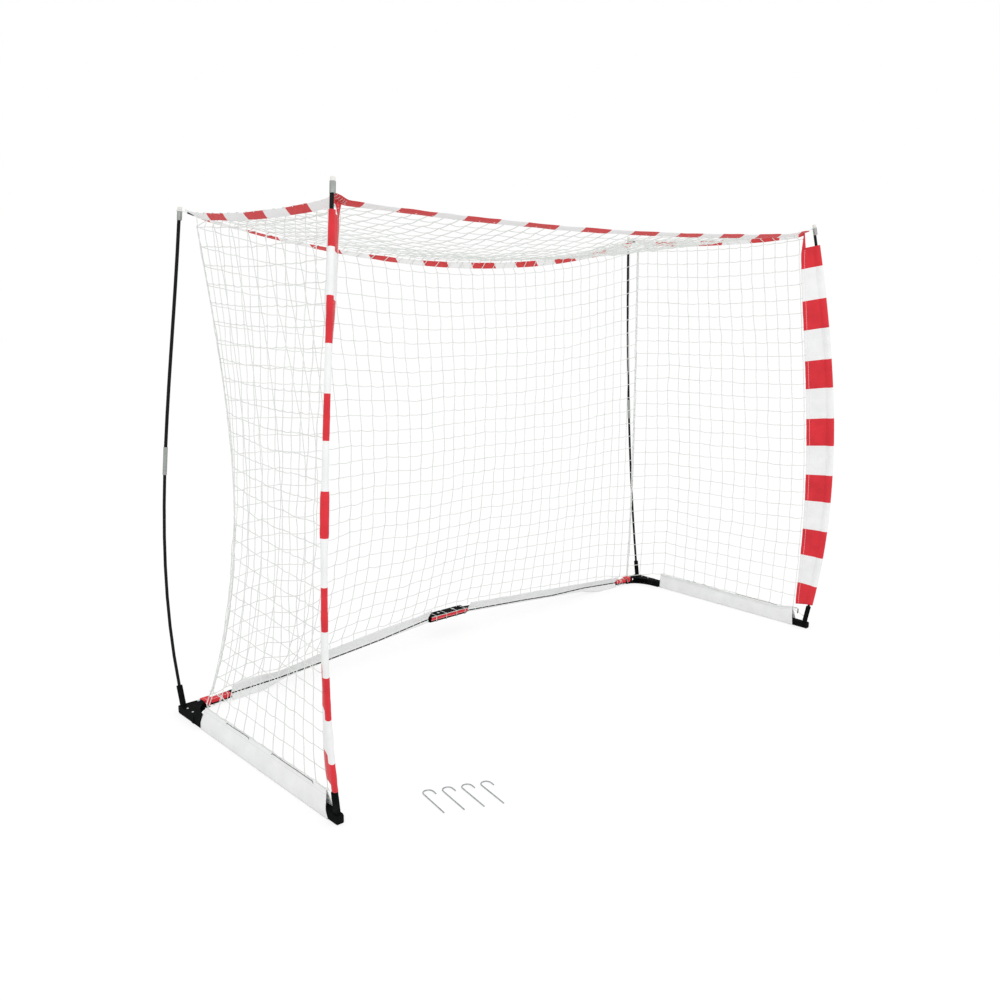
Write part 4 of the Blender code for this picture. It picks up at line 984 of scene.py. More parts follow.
# %% Crossbar and side strips
CROSSBAR_REDS = (
    (0.0, 0.097), (0.244, 0.404), (0.541, 0.706), (0.845, 1.013), (1.161, 1.317),
    (1.461, 1.625), (1.769, 1.934), (2.084, 2.247), (2.368, 2.552), (2.700, 2.760),
)
SIDE_REDS = {
    -1: ((0.0, 0.020), (0.165, 0.307), (0.468, 0.609), (0.772, 0.914)),
    1: ((0.0, 0.025), (0.125, 0.294), (0.465, 0.611), (0.763, 0.914)),
}
CROSSBAR_NARROW = ((0.42, 0.040), (0.22, 0.050))
SIDE_NARROW = ((0.8, 0.03), (0.08, 0.12))

piece, length, area = tape(
    "crossbar_tape", crossbar_run, crossbar_line, CROSSBAR_LEAN, (0.0, 1.0), CROSSBAR_REDS,
    CROSSBAR_NARROW, seed=3,
)
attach(piece, "left_frame")
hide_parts("crossbar_strip")
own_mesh(piece)
for word, side in SIDES.items():
    piece, length, area = tape(
        "side_tape_" + word, side_run[side], side_ruler(side), SIDE_LEAN[side], (0.0, 1.0), SIDE_REDS[side],
        SIDE_NARROW, seed=7, keep=-1.0,
    )
    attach(piece, word + "_frame")
    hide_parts("side_strip_" + word)

# %% [markdown]
# Anything that crosses the rear bar's hinges is made in the same four lengths, so one list gives, for each
# length, the two bodies it spans and where along X it starts and stops.

# %% Rear strip in four lengths
REAR_REDS = (
    (0.042, 0.073), (0.231, 0.374), (0.525, 0.673), (0.823, 0.970), (1.125, 1.269),
    (1.421, 1.574), (1.721, 1.876), (2.015, 2.178), (2.316, 2.461), (2.613, 2.730),
)
REAR_NARROW = ((0.25, 0.14), (0.3, 0.10))
REAR_BAR_Y = 0.588
BEND_OUTER_X = 1.29
BEND_MIDDLE_X = 0.70
BENDS = (
    ("outer_left", -BEND_OUTER_X, -BEND_MIDDLE_X, "left_frame", "rear_left"),
    ("inner_left", -BEND_MIDDLE_X, 0.0, "rear_left", "centre"),
    ("inner_right", 0.0, BEND_MIDDLE_X, "centre", "rear_right"),
    ("outer_right", BEND_MIDDLE_X, BEND_OUTER_X, "rear_right", "right_frame"),
)
rear_x = rear_corner(1).x


def bend(piece):
    """Bakes a piece's place into its mesh."""
    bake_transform(piece)


def rear_share(x):
    """Share of the rear strip's line at a place along X."""
    return kept_within((x + rear_x) / (2 * rear_x))


for word, start_x, end_x, first, second in BENDS:
    span = (0.0 if start_x < -1 else rear_share(start_x), 1.0 if end_x > 1 else rear_share(end_x))
    piece, length, area = tape(
        "rear_tape_" + word, rear_run, rear_line, REAR_LEAN, span, REAR_REDS, REAR_NARROW, seed=11
    )
    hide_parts("rear_strip_" + word.split("_")[1])
    bend(piece)

# %% [markdown]
# ## Cord as bevelled curves
# Net, lacing and seams are all cord, and there are hundreds of metres of it. A curve with a round bevel
# is the natural tool: each cord is one spline of points, and the bevel gives it its thickness. Curves
# can't bend with two bodies, so they are turned to meshes at once. A net cord needs only six sides,
# because it is a pixel wide in the picture.

# %% Cords
def cord_bmesh(paths, radius, resolution=1):
    """A bmesh of round cords along the paths, with six sides at resolution 1 and eight at 2."""
    curve = bpy.data.curves.new("cords", "CURVE")
    curve.dimensions = "3D"
    curve.bevel_depth = radius
    curve.bevel_resolution = resolution
    curve.use_fill_caps = True
    for path in paths:
        spline = curve.splines.new("POLY")
        spline.points.add(len(path) - 1)
        for point, place in zip(spline.points, path):
            point.co = (*place, 1.0)
    holder = bpy.data.objects.new("cords", curve)
    bpy.context.scene.collection.objects.link(holder)
    graph = bpy.context.evaluated_depsgraph_get()
    mesh = bpy.data.meshes.new_from_object(holder.evaluated_get(graph))
    bpy.data.objects.remove(holder)
    bm = bmesh.new()
    bm.from_mesh(mesh)
    bpy.data.meshes.remove(mesh)
    return bm


def add_knots(bm, places, size):
    """Small lumps where cords cross."""
    for place in places:
        turn = wander(place, 0.05, 9) * 3
        shape = Matrix.Translation(place) @ Matrix.Rotation(turn.x, 4, "X") @ Matrix.Rotation(turn.y, 4, "Y")
        shape = shape @ Matrix.Diagonal((1.25, 0.95, 0.95, 1.0))
        bmesh.ops.create_icosphere(bm, subdivisions=1, radius=size, matrix=shape)


def cord_piece(name, paths, radius, finish=NET_CORD):
    """A finished piece of cords in one finish."""
    piece = made_piece(cord_bmesh(paths, radius), name, (finish,))
    return piece


print("cord tools ready")

# %% [markdown]
# ## Net
# The net is square mesh of about 73 mm, knotted at every crossing. It hangs between four edges, so a
# surface is laid between them by blending the edges across each other, and the cords are drawn on it. A
# real net is never even: knots slip, whole areas billow, and each short length between two knots hangs in
# its own little bow. So the knots wander a few millimetres, and every length of cord gets points of its
# own that sag.

# %% Surfaces between four edges
def blended_surface(bottom, top, start, end):
    """A surface through four edges: u runs from start to end, and v from bottom to top."""

    def patch(u, v):
        corners = (
            bottom(0) * (1 - u) * (1 - v) + bottom(1) * u * (1 - v) + top(0) * (1 - u) * v + top(1) * u * v
        )
        return bottom(u) * (1 - v) + top(u) * v + start(v) * (1 - u) + end(v) * u - corners

    return patch


print("surface tool ready")

# %% Knots and the cords between them
CORD_RADIUS = 0.0017
KNOT_RADIUS = 0.0027
KNOT_WANDER = 0.007
BILLOW = 0.012
CORD_SAG = 0.0045
LINK_POINTS = 4


def knot_grid(patch, columns, rows, seed):
    """Places of the knots on a surface, in columns of rows. They wander less near its edges."""
    grid = []
    for column in range(columns + 1):
        line = []
        for row in range(rows + 1):
            u, v = column / columns, row / rows
            place = patch(u, v)
            free = min(1.0, 5 * u, 5 * (1 - u)) * min(1.0, 5 * v, 5 * (1 - v))
            place = place + wander(place, 0.11, seed) * KNOT_WANDER * free
            place = place + wander(place, 0.55, seed + 1) * BILLOW * free
            line.append(place)
        grid.append(line)
    return grid


def link(start, end, seed):
    """Points of one short cord after its first knot, up to and with its last."""
    points = []
    level = 1.0 - abs((end - start).normalized().z)
    loose = wander((start + end) / 2, 0.037, seed) * CORD_SAG
    loose.z -= CORD_SAG * 0.7 * level
    for step in range(1, LINK_POINTS + 1):
        share = step / LINK_POINTS
        bow = 4 * share * (1 - share)
        points.append(start.lerp(end, share) + loose * bow)
    return points


def net_paths(columns, seed, skip_first):
    """All cords of a net: down each column and along each row."""
    paths = []
    for column in columns[1:] if skip_first else columns:
        path = [column[0]]
        for start, end in zip(column, column[1:]):
            path += link(start, end, seed)
        paths.append(path)
    for row in range(len(columns[0])):
        path = [columns[0][row]]
        for before, after in zip(columns, columns[1:]):
            path += link(before[row], after[row], seed + 3)
        paths.append(path)
    return paths


def net_piece(name, columns, seed, ties, skip_first=False):
    """A net with its ties. skip_first leaves the first column's own cord and knots to the piece before."""
    bm = cord_bmesh(net_paths(columns, seed, skip_first) + ties, CORD_RADIUS)
    knotted = columns[1:] if skip_first else columns
    add_knots(bm, [place for column in knotted for place in column], KNOT_RADIUS)
    piece = made_piece(bm, name, (NET_CORD,))
    return piece


print("net cord", CORD_RADIUS * 2000, "mm thick")

# %% [markdown]
# The side nets are tied to the sleeve's hem in front, the strip above, the skirt below and each other's
# corner line behind. That line is pulled inwards in the middle, because the back net hauls on it. Where
# the net meets a strip, each upright cord goes round the tape and comes back to its own knot.

# %% Edges of the side nets
NET_EDGE = 0.022
NET_SEAM = 0.006
SKIRT_RIDGE_X = 1.4965
SKIRT_HEIGHT = 0.086
SKIRT_FRONT_Y = -0.572
SKIRT_REAR_Y = 0.395
SKIRT_SHARE = 0.82
CORNER_SHARE = 0.18
CORNER_FOOT = (1.392, 0.572, 0.0553)
CORNER_BOW = 0.088


def corner_line(side, share):
    """Where side net and back net are laced together, from the ground up."""
    foot = Vector((side * CORNER_FOOT[0], CORNER_FOOT[1], CORNER_FOOT[2]))
    top = rear_corner(side) - Vector((0, 0.033, 0.042))
    bow = CORNER_BOW * math.sin(math.pi * share**0.8)
    return foot.lerp(top, share) + Vector((-side * bow, -bow, 0))


def side_surface(side):
    """The surface of a side net, from the sleeve to the corner line and from the skirt to the strip."""
    front_foot = Vector((side * SKIRT_RIDGE_X, SKIRT_FRONT_Y, SKIRT_HEIGHT + NET_SEAM))
    rear_foot = Vector((front_foot.x, SKIRT_REAR_Y, front_foot.z))
    low, high = front_foot.z, side_line(side, 0).z - NET_EDGE

    def front(v):
        height = between(low, high, v)
        return sleeve_edge(side, height) + sleeve_inward(side, height) * 0.010

    def top(u):
        line = side_line(side, u)
        flat = side_line(side, 0).lerp(side_line(side, 1), u)
        return front(1).lerp(corner_line(side, 1), u) + Vector((0, 0, line.z - flat.z))

    def bottom(u):
        if u < SKIRT_SHARE:
            return front(0).lerp(rear_foot, u / SKIRT_SHARE)
        return rear_foot.lerp(corner_line(side, 0), (u - SKIRT_SHARE) / CORNER_SHARE)

    return blended_surface(bottom, top, front, lambda v: corner_line(side, v))


print("the left corner line is", round((corner_line(-1, 1) - corner_line(-1, 0)).length, 3), "m long")

# %% Side nets
SIDE_MESHES = (15, 27)
SKIRT_TIES = 13
LASH_SLANT = 0.045
LASH_FACE = ((0.0175, 0.0006, 0.0), (0.0150, 0.0036, 0.1), (0.0, 0.0046, 0.5), (-0.0155, 0.0036, 0.9))


def lash(knot, line, share, lean, face):
    """A cord that leaves a knot, crosses a tape's inner face at a slant and goes over its far edge."""
    centre, ahead, wide, thick = tape_frame(line, share, lean)
    path = [knot]
    for across, out, along in LASH_FACE:
        path.append(centre + wide * across + thick * out * face + ahead * LASH_SLANT * along)
    path.append(centre - wide * 0.0178 + ahead * LASH_SLANT)
    path.append(centre - wide * 0.0150 - thick * 0.0030 * face + ahead * LASH_SLANT)
    return path


def side_share(side, y):
    """Share of a side strip's line at a place along Y, kept off its ends."""
    front, rear = front_corner(side).y, rear_corner(side).y
    return kept_within((y - front) / (rear - front), 0.03, 0.90)


for word, side in SIDES.items():
    grid = knot_grid(side_surface(side), *SIDE_MESHES, seed=20 + side)
    ties = []
    for knot in grid[0]:
        inward = sleeve_inward(side, knot.z)
        ties.append([knot, knot - inward * 0.009 + Vector((0, 0, 0.003)), knot - inward * 0.021])
    for column in grid:
        share = side_share(side, column[-1].y)
        ties.append(lash(column[-1], side_run[side], share, SIDE_LEAN[side], side))
    for column in grid[:SKIRT_TIES]:
        knot = column[0]
        ties.append([knot, knot - Vector((0, 0, 0.006)), knot - Vector((side * 0.001, 0, 0.012))])
    piece = net_piece("side_net_cords_" + word, grid, 20 + side, ties)
    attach(piece, word + "_frame")
    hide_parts("side_net_" + word)

# %% [markdown]
# The back net is the largest. It is knotted to the rear strip above and laced to the rear bar's skirt
# below, and it is made in the same four lengths as the strip. The line of the bar comes first, because the
# net's lower edge, the skirts and the covers all follow it. The grid of knots is made once and its cords
# are drawn in four parts that share their last column.

# %% Where the rear bar runs
BAR_MIDDLE = 0.0173
CORNER_PIN_X = 1.435
CENTRE_PIN_X = 0.050
REAR_BAR = 0.025
REAR_BAR_BACK = 0.067
REAR_BAR_RISE = 0.075
REAR_BAR_FLAT_END = 0.085
REAR_HALF = math.hypot(CORNER_PIN_X - CENTRE_PIN_X, REAR_BAR_BACK)
REAR_KINK = math.atan2(REAR_BAR_BACK, CORNER_PIN_X - CENTRE_PIN_X)


def bar_rise(reach):
    """How far the rear bar has risen at a distance from its corner pin."""
    slope = REAR_HALF - 2 * REAR_BAR_FLAT_END
    return REAR_BAR_RISE * kept_within((reach - REAR_BAR_FLAT_END) / slope)


def by_bar(side, reach, across, up):
    """A place by half of the rear bar: distance from the corner pin, then to the rear and up."""
    along = Vector((-side * math.cos(REAR_KINK), math.sin(REAR_KINK), 0))
    back = Vector((side * math.sin(REAR_KINK), math.cos(REAR_KINK), 0))
    corner = Vector((side * CORNER_PIN_X, REAR_BAR_Y, BAR_MIDDLE + bar_rise(reach) + up))
    return corner + along * reach + back * across


def over_bar(x, up):
    """A place above the rear bar's middle line, at a place along X."""
    share = min((CORNER_PIN_X - abs(x)) / (CORNER_PIN_X - CENTRE_PIN_X), 1.0)
    return Vector((x, REAR_BAR_Y + REAR_BAR_BACK * share, BAR_MIDDLE + bar_rise(REAR_HALF * share) + up))


print("half of the rear bar is", round(REAR_HALF, 3), "m between its pins")

# %% Surface of the back net
BACK_MESHES = (37, 26)
REAR_SKIRT_RISE = 0.055
REAR_SKIRT_LEAN = 0.030
BACK_LIFT = 0.020
BACK_LIFT_REACH = (0.25, 1.05)


def back_edge(side, share):
    """The back net's upright edge, beside the corner line."""
    return corner_line(side, share) + Vector((-side * NET_SEAM, NET_SEAM, 0))


def back_bottom(u):
    """The back net's lower edge, over the skirt. It is drawn up a little in its left half."""
    start, end = back_edge(-1, 0), back_edge(1, 0)
    x = between(start.x, end.x, u)
    over = over_bar(x, REAR_BAR / 2 + REAR_SKIRT_RISE + NET_SEAM)
    inside = min(1.0, 4.0 * min(u, 1 - u) / 0.35)
    y = over.y - REAR_BAR / 2 - REAR_SKIRT_LEAN
    lifted = kept_within((CORNER_PIN_X + x - BACK_LIFT_REACH[0]) / (BACK_LIFT_REACH[1] - BACK_LIFT_REACH[0]))
    over.z += BACK_LIFT * math.sin(math.pi * lifted)
    return Vector((x, between(start.y, y, inside), between(start.z, over.z, inside)))


def back_top(u):
    """The back net's upper edge, which sags as the rear strip does."""
    inset = back_edge(-1, 1).lerp(back_edge(1, 1), u)
    return inset + rear_line(u) - rear_corner(-1).lerp(rear_corner(1), u)


back_surface = blended_surface(back_bottom, back_top, lambda v: back_edge(-1, v), lambda v: back_edge(1, v))
back_grid = knot_grid(back_surface, *BACK_MESHES, seed=31)
print("back net has", len(back_grid) * len(back_grid[0]), "knots")

# %% [markdown]
# The back net has one sharp upright crease near its left end. It is given by how far it pushes each
# column of knots to the front or the rear, and by how much of that is left at each height.

# %% The crease in the back net
CREASE = tuple(enumerate((0.0, 0.025, 0.030, 0.005, -0.085, -0.065, -0.045, -0.030, -0.020, -0.010, 0.0)))
CREASE_HEIGHTS = ((0.09, 0.5), (0.20, 1.0), (1.15, 1.0), (1.75, 0.0))


def crease_at(number, height):
    """How far the crease pushes the net to the rear, by number of column."""
    return along_points(CREASE, number) * along_points(CREASE_HEIGHTS, height)


def crease_by_x(x, height):
    """The same at a place along X near the foot of the net."""
    start, end = back_edge(-1, 0).x, back_edge(1, 0).x
    return crease_at((x - start) / (end - start) * BACK_MESHES[0], height)


for number, column in enumerate(back_grid):
    for knot in column:
        knot.y += crease_at(number, knot.z)
print("the crease reaches over", len(CREASE), "columns")

# %% Back net in four parts
BAND_TOP = {-1: 0.060, 1: 0.049}


def column_near(x):
    """Number of the column of knots that is nearest to a place along X, halfway up."""
    gaps = [abs(column[len(column) // 2].x - x) for column in back_grid]
    return gaps.index(min(gaps))


for word, start_x, end_x, first, second in BENDS:
    low = 0 if start_x < -1 else column_near(start_x)
    high = BACK_MESHES[0] if end_x > 1 else column_near(end_x)
    grid = back_grid[low:high + 1]
    ties = []
    for column in grid[1:] if low > 0 else grid:
        foot, top = column[0], column[-1]
        ties.append(lash(top, rear_run, kept_within(rear_share(top.x), 0.01, 0.985), REAR_LEAN, -1))
        hold = over_bar(foot.x, BAND_TOP[-1 if foot.x < 0 else 1] - 0.006)
        hold.y = foot.y + 0.002
        ties.append([foot, foot.lerp(hold, 0.5) + Vector((0.002, 0, 0)), hold])
    piece = net_piece("back_net_cords_" + word, grid, 31, ties, skip_first=low > 0)
    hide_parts("back_net_" + word.split("_")[1])
    bend(piece)

# %% [markdown]
# The roof net lies between the four strips and hangs a few centimetres, most of it towards the front. Its
# rear and right edges stand a little above the strips there, so that the stripes stay in sight. When the
# goal is folded it gathers towards the left frame like a curtain, so it is one piece that rides on the left
# frame.

# %% Roof net
ROOF_MESHES = (37, 15)
ROOF_SAG = 0.035
ROOF_INSET = 0.9 * NET_EDGE
ROOF_ENDS = (0.012, 0.988)
ROOF_REAR_UP = 0.014
ROOF_RISE = 0.019
ROOF_SIDE_RISE = {-1: 0.0, 1: 0.026}


def roof_front(u):
    return crossbar_line(between(*ROOF_ENDS, u)) + Vector((0, ROOF_INSET, 0))


def roof_rear(u):
    return rear_line(between(*ROOF_ENDS, u)) + Vector((0, -ROOF_INSET * 0.6, ROOF_REAR_UP + ROOF_RISE * u))


def roof_side(side):
    def along(v):
        flat = side_line(side, 0).lerp(side_line(side, 1), v)
        share = 0 if side < 0 else 1
        rise = Vector((0, 0, ROOF_SIDE_RISE[side] * math.sin(math.pi * v)))
        return roof_front(share).lerp(roof_rear(share), v) + side_line(side, v) - flat + rise

    return along


roof_flat = blended_surface(roof_front, roof_rear, roof_side(-1), roof_side(1))


def roof_surface(u, v):
    """The roof net with its sag, deepest at a third of the way back, where the 27 makes its share one."""
    return roof_flat(u, v) - Vector((0, 0, ROOF_SAG * 27 * u * (1 - u) * v * (1 - v) ** 2))


roof_grid = knot_grid(roof_surface, *ROOF_MESHES, seed=41)
ties = []
for number, column in enumerate(roof_grid):
    front_knot, rear_knot = column[0], column[-1]
    drop = 0.003 + ROOF_RISE * number / ROOF_MESHES[0]
    for knot, near, far in (
        (front_knot, (0, -0.010, -0.004), (0, -0.017, -0.004)),
        (rear_knot, (0, 0.008, -drop / 2), (0, 0.018, -drop)),
    ):
        ties.append([knot, knot + Vector(near), knot + Vector(far)])
piece = net_piece("roof_net_cords", roof_grid, 41, ties)
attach(piece, "left_frame")
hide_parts("roof_net")
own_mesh(piece)

# %% [markdown]
# Side net and back net are laced together along the corner line, and the lacing shows as a thicker,
# bunched line. Two cords that wind round each other give that look.

# %% Laced corner seams
SEAM_WIND = 0.0022
SEAM_PITCH = 0.075
SEAM_STEPS = 200
SEAM_OFF = 0.003


def twisted(line, strands, wind, pitch, steps):
    """Cords that wind round a line, as paths."""
    length = lengths_along([line(step / steps) for step in range(steps + 1)])[-1]
    paths = []
    for strand in range(strands):
        path = []
        for step in range(steps + 1):
            share = step / steps
            ahead = way_along(line, share)
            side_way = ahead.cross(Vector((0, 1, 0.13))).normalized()
            up_way = ahead.cross(side_way)
            angle = 2 * math.pi * (share * length / pitch + strand / strands)
            path.append(line(share) + side_way * wind * math.cos(angle) + up_way * wind * math.sin(angle))
        paths.append(path)
    return paths


def seam_line(side):
    def line(share):
        return corner_line(side, share) + Vector((-side * SEAM_OFF, SEAM_OFF, 0))

    return line


for word, side in SIDES.items():
    paths = twisted(seam_line(side), 2, SEAM_WIND, SEAM_PITCH, SEAM_STEPS)
    piece = cord_piece("corner_seam_" + word, paths, 0.0012)
    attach(piece, word + "_frame")

# %% [markdown]
# ## Skirts
# A sheet of white cloth is folded over each side bar like a long low tent. Its ridge stands 5 cm above
# the bar, where the side net pulls it up, and its two hems lie on the ground on either side of the bar.
# The sheet is nearly taut, so it only ripples by a millimetre or two. Its front end is drawn back as it
# rises, and on the right it is drawn up as well.

# %% The tent over a side bar
SIDE_BAR_HALF = 0.015
SKIRT_FLOOR_GAP = 0.0022
TENT_FOOT = SIDE_BAR_HALF + PLAY + 0.0016
RIDGE_IN = SIDE_BAR_X - SKIRT_RIDGE_X
TENT_LINE = (
    (TENT_FOOT, SKIRT_FLOOR_GAP), (TENT_FOOT, 0.012), (TENT_FOOT, 0.024), (TENT_FOOT - 0.0006, 0.0325),
    (TENT_FOOT - 0.0060, 0.0450), (TENT_FOOT - 0.0125, 0.0590), (TENT_FOOT - 0.0185, 0.0720),
    (TENT_FOOT - 0.0225, 0.0805), (-RIDGE_IN + 0.0022, 0.0850), (-RIDGE_IN, 0.0862),
    (-RIDGE_IN - 0.0016, 0.0848), (-RIDGE_IN - 0.0032, 0.0740), (-TENT_FOOT + 0.0030, 0.0560),
    (-TENT_FOOT + 0.0008, 0.0400), (-TENT_FOOT, 0.0325), (-TENT_FOOT, 0.020), (-TENT_FOOT, 0.010),
    (-TENT_FOOT, SKIRT_FLOOR_GAP),
)
SKIRT_END_Y = {-1: -0.552, 1: -0.520}
SKIRT_END_LEAN = {-1: 0.045, 1: 0.012}
SKIRT_END_RISE = {-1: 0.0, 1: 0.022}
SKIRT_END_REACH = 0.10
SKIRT_LEAN_REACH = 0.12
TENT_FREE_FROM = 0.034
TENT_FREE_OVER = 0.052
TENT_RIPPLE = 0.0028
TENT_FINE_RIPPLE = 0.0006
TENT_LIFT = 0.0016
HEM_SPREAD = 0.0012


def tent_place(side, across, height, y):
    """A place on a side skirt: across from the bar's middle line, and up. It ripples where it hangs free."""
    free = max(0.0, (height - TENT_FREE_FROM) / TENT_FREE_OVER)
    spot = Vector((side * (SIDE_BAR_X + across), y, height))
    uneven = wander(spot, 0.16, 50 + side)
    fine = wander(spot, 0.035, 52 + side)
    out = free * (TENT_RIPPLE * uneven.x + TENT_FINE_RIPPLE * fine.x)
    foot = HEM_SPREAD * max(0.0, 1 - height / 0.02) * (0.5 + 0.5 * uneven.y)
    out += foot if across > 0 else -foot
    near_end = max(0.0, 1 - (y - SKIRT_END_Y[side]) / SKIRT_END_REACH)
    rise = SKIRT_END_RISE[side] * height / SKIRT_HEIGHT * near_end
    return Vector((side * (SIDE_BAR_X + across + out), y, height + free * TENT_LIFT * uneven.z + rise))


print("the ridge stands", SKIRT_HEIGHT, "m above the ground")

# %% Side skirts
SKIRT_CLOTH = 0.0012
SKIRT_ROWS = 0.016


def side_skirt(side, name):
    reach = lengths_along(TENT_LINE)
    end_y = SKIRT_END_Y[side]
    rows = spaced(end_y, SKIRT_REAR_Y, SKIRT_ROWS)

    def place(column, row):
        across, height = TENT_LINE[column]
        near_end = max(0.0, 1 - (rows[row] - end_y) / SKIRT_LEAN_REACH)
        drawn_back = SKIRT_END_LEAN[side] * height / SKIRT_HEIGHT * near_end
        return tent_place(side, across, height, rows[row] + drawn_back)

    ridge = max(range(len(TENT_LINE)), key=lambda column: TENT_LINE[column][1])
    from_ridge = [abs(distance - reach[ridge]) for distance in reach]
    bm = bent_sheet(from_ridge, rows, place)
    piece = made_piece(bm, name, (WHITE_CLOTH,), thickness=SKIRT_CLOTH, smoothing=1)
    return piece, reach[-1], rows[-1] - rows[0]


for word, side in SIDES.items():
    piece, width, length = side_skirt(side, "side_skirt_cloth_" + word)
    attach(piece, word + "_frame")
    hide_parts("side_skirt_" + word)

# %% [markdown]
# The black cord lies in the ridge and comes out of the cloth in two stretches. On the left it runs on to
# the foot of the pole. On the right its end hangs loose and carries a small black end piece. White cord
# is threaded along the inner edge of each ridge and ends at the foot of the pole too.

# %% Cords along the ridges
RIDGE_CORD_OUT = ((-0.420, -0.140), (0.030, 0.205))
RIDGE_CORD_RADIUS = 0.0010
HOOK_RADIUS = 0.0028
LOOSE_END = (
    (-0.012, 0.005), (-0.025, 0.008), (-0.040, 0.008), (-0.047, 0.005), (-0.0475, -0.008), (-0.046, -0.021),
)


def loose_end(start):
    """The line of the right ridge cord's free end, from where it leaves the cloth."""
    return [start + Vector((0, forward, up)) for forward, up in LOOSE_END]


def ridge_cord_path(side):
    """The black cord along the ridge. It lies outside the cloth in two stretches and inside it elsewhere."""
    path = []
    for y in spaced(SKIRT_END_Y[side] + SKIRT_END_LEAN[side] + 0.015, SKIRT_REAR_Y - 0.010, 0.012):
        outside = any(near < y < far for near, far in RIDGE_CORD_OUT)
        up = 0.0014 if outside else -0.0100
        up += 0.0009 * wander(Vector((side, y, 0)), 0.05, 55).x
        path.append(tent_place(side, -RIDGE_IN + 0.0022, 0.0850, y) + Vector((side * 0.0014, 0, up)))
    if side > 0:
        return [loose_end(path[0])[0]] + path
    foot = POLES[(side, -1)]
    low = foot.at(0.037) + Vector((-side * 0.006, 0.0145, 0))
    return [low, foot.at(0.062) + Vector((-side * 0.012, 0.0125, 0))] + path


def hem_cord_path(side):
    """The white cord along the inner edge of the ridge, from the foot of the pole to the rear."""
    foot = POLES[(side, -1)]
    path = [foot.at(0.037) + Vector((-side * 0.006, 0.0155, 0))]
    path.append(foot.at(0.060) + Vector((side * 0.002, 0.0165, 0)))
    for y in spaced(SKIRT_END_Y[side] + SKIRT_END_LEAN[side] + 0.005, SKIRT_REAR_Y - 0.002, 0.015):
        spot = tent_place(side, -RIDGE_IN - 0.0030, 0.0810, y)
        path.append(spot + Vector((-side * 0.0022, 0, 0.0014 * wander(spot, 0.06, 57).z)))
    return path


for word, side in SIDES.items():
    path = ridge_cord_path(side)
    piece = cord_piece("ridge_cord_" + word, [path], RIDGE_CORD_RADIUS, finish=BLACK_CORD)
    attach(piece, word + "_frame")
    piece = cord_piece("hem_cord_" + word, [hem_cord_path(side)], 0.0020)
    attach(piece, word + "_frame")

end = loose_end(ridge_cord_path(1)[1])
hook = cord_piece("skirt_hook_right", [end[-3:]], HOOK_RADIUS, finish=BLACK_CORD)
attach(hook, "right_frame")
end = end[:-1]
piece = cord_piece("skirt_cord_end_right", [end], RIDGE_CORD_RADIUS, finish=BLACK_CORD)
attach(piece, "right_frame")
moved = [tuple(place + FRAME_SHIFT) for place in end]
length = lengths_along(end)[-1]
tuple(moved[0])
print("the loose end is", round(length, 4), "m long")

# %% [markdown]
# On the rear bar the cloth is a sleeve with a long slit in its front: above the slit it stands up to the
# net, and below it is a narrow band round the bar, so the black bar shows in the slit as a thin dark
# line. The slit isn't straight, because the cloth sags between the corner and the centre. Near the corner
# the bar nearly touches the ground, so the band hangs in front of it instead of going round. White
# stitches cross the slit about every 5 cm.

# %% Rear skirts
COVER_START = 0.049
COVER_LENGTH = 0.105
REAR_SKIRT_FIRST = COVER_START + COVER_LENGTH - 0.005
CENTRE_BRACKET_HALF = 0.125
REAR_SKIRT_LAST = REAR_HALF + CENTRE_PIN_X - CENTRE_BRACKET_HALF - 0.010
REAR_SKIRT_CLOTH = 0.0010
BAND_FRONT = REAR_BAR / 2 + 0.0011
SLIT_WIDTH = 0.0065
SLIT_LEAST = -0.0100
SLIT_LINES = {
    -1: ((0.15, 0.0105), (0.26, 0.0045), (0.40, -0.0025), (0.68, -0.0070), (0.95, -0.0080), (1.26, 0.0040)),
    1: ((0.18, 0.0060), (0.42, 0.0075), (0.68, -0.0045), (0.92, -0.0020), (1.28, -0.0040)),
}
UPPER_FORWARD = (0.0, 0.0, 0.0005, 0.005, 0.012, 0.019, 0.026, 0.0295, 0.0300)
UPPER_SHARES = (0.0, 0.06, 0.13, 0.27, 0.45, 0.65, 0.84, 0.96, 1.0)


def rear_band(side, name, columns, place_at):
    """A strip of cloth by half of the rear bar. place_at gives the places to the rear and up at a reach."""
    rows = spaced(REAR_SKIRT_FIRST, REAR_SKIRT_LAST, SKIRT_ROWS)
    middle = [place_at(column, (rows[0] + rows[-1]) / 2) for column in range(columns)]
    reach = lengths_along(middle)

    def place(column, row):
        return by_bar(side, rows[row], *place_at(column, rows[row]))

    bm = bent_sheet([reach[-1] - distance for distance in reach], rows, place)
    piece = made_piece(bm, name, (WHITE_CLOTH,), thickness=REAR_SKIRT_CLOTH, smoothing=1)
    return piece, reach[-1], rows[-1] - rows[0]


def upper_band(side):
    def place_at(column, reach):
        bottom = max(along_points(SLIT_LINES[side], reach), SLIT_LEAST + SLIT_WIDTH / 2) + SLIT_WIDTH / 2
        free = UPPER_SHARES[column]
        spot = by_bar(side, reach, -UPPER_FORWARD[column], free * 0.05)
        uneven = wander(spot, 0.12, 60 + side)
        fine = wander(spot, 0.03, 61 + side)
        loose = free * free
        forward = UPPER_FORWARD[column] + loose * (0.005 * uneven.y + 0.0015 * fine.y)
        forward -= loose * crease_by_x(spot.x, 0.0) * 0.8
        return -BAND_FRONT - forward, between(bottom, BAND_TOP[side], free) + loose * 0.004 * uneven.z

    return place_at


for word, side in SIDES.items():
    piece, width, length = rear_band(side, "rear_skirt_cloth_" + word, len(UPPER_SHARES), upper_band(side))
    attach(piece, "rear_" + word)
    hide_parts("rear_skirt_" + word)

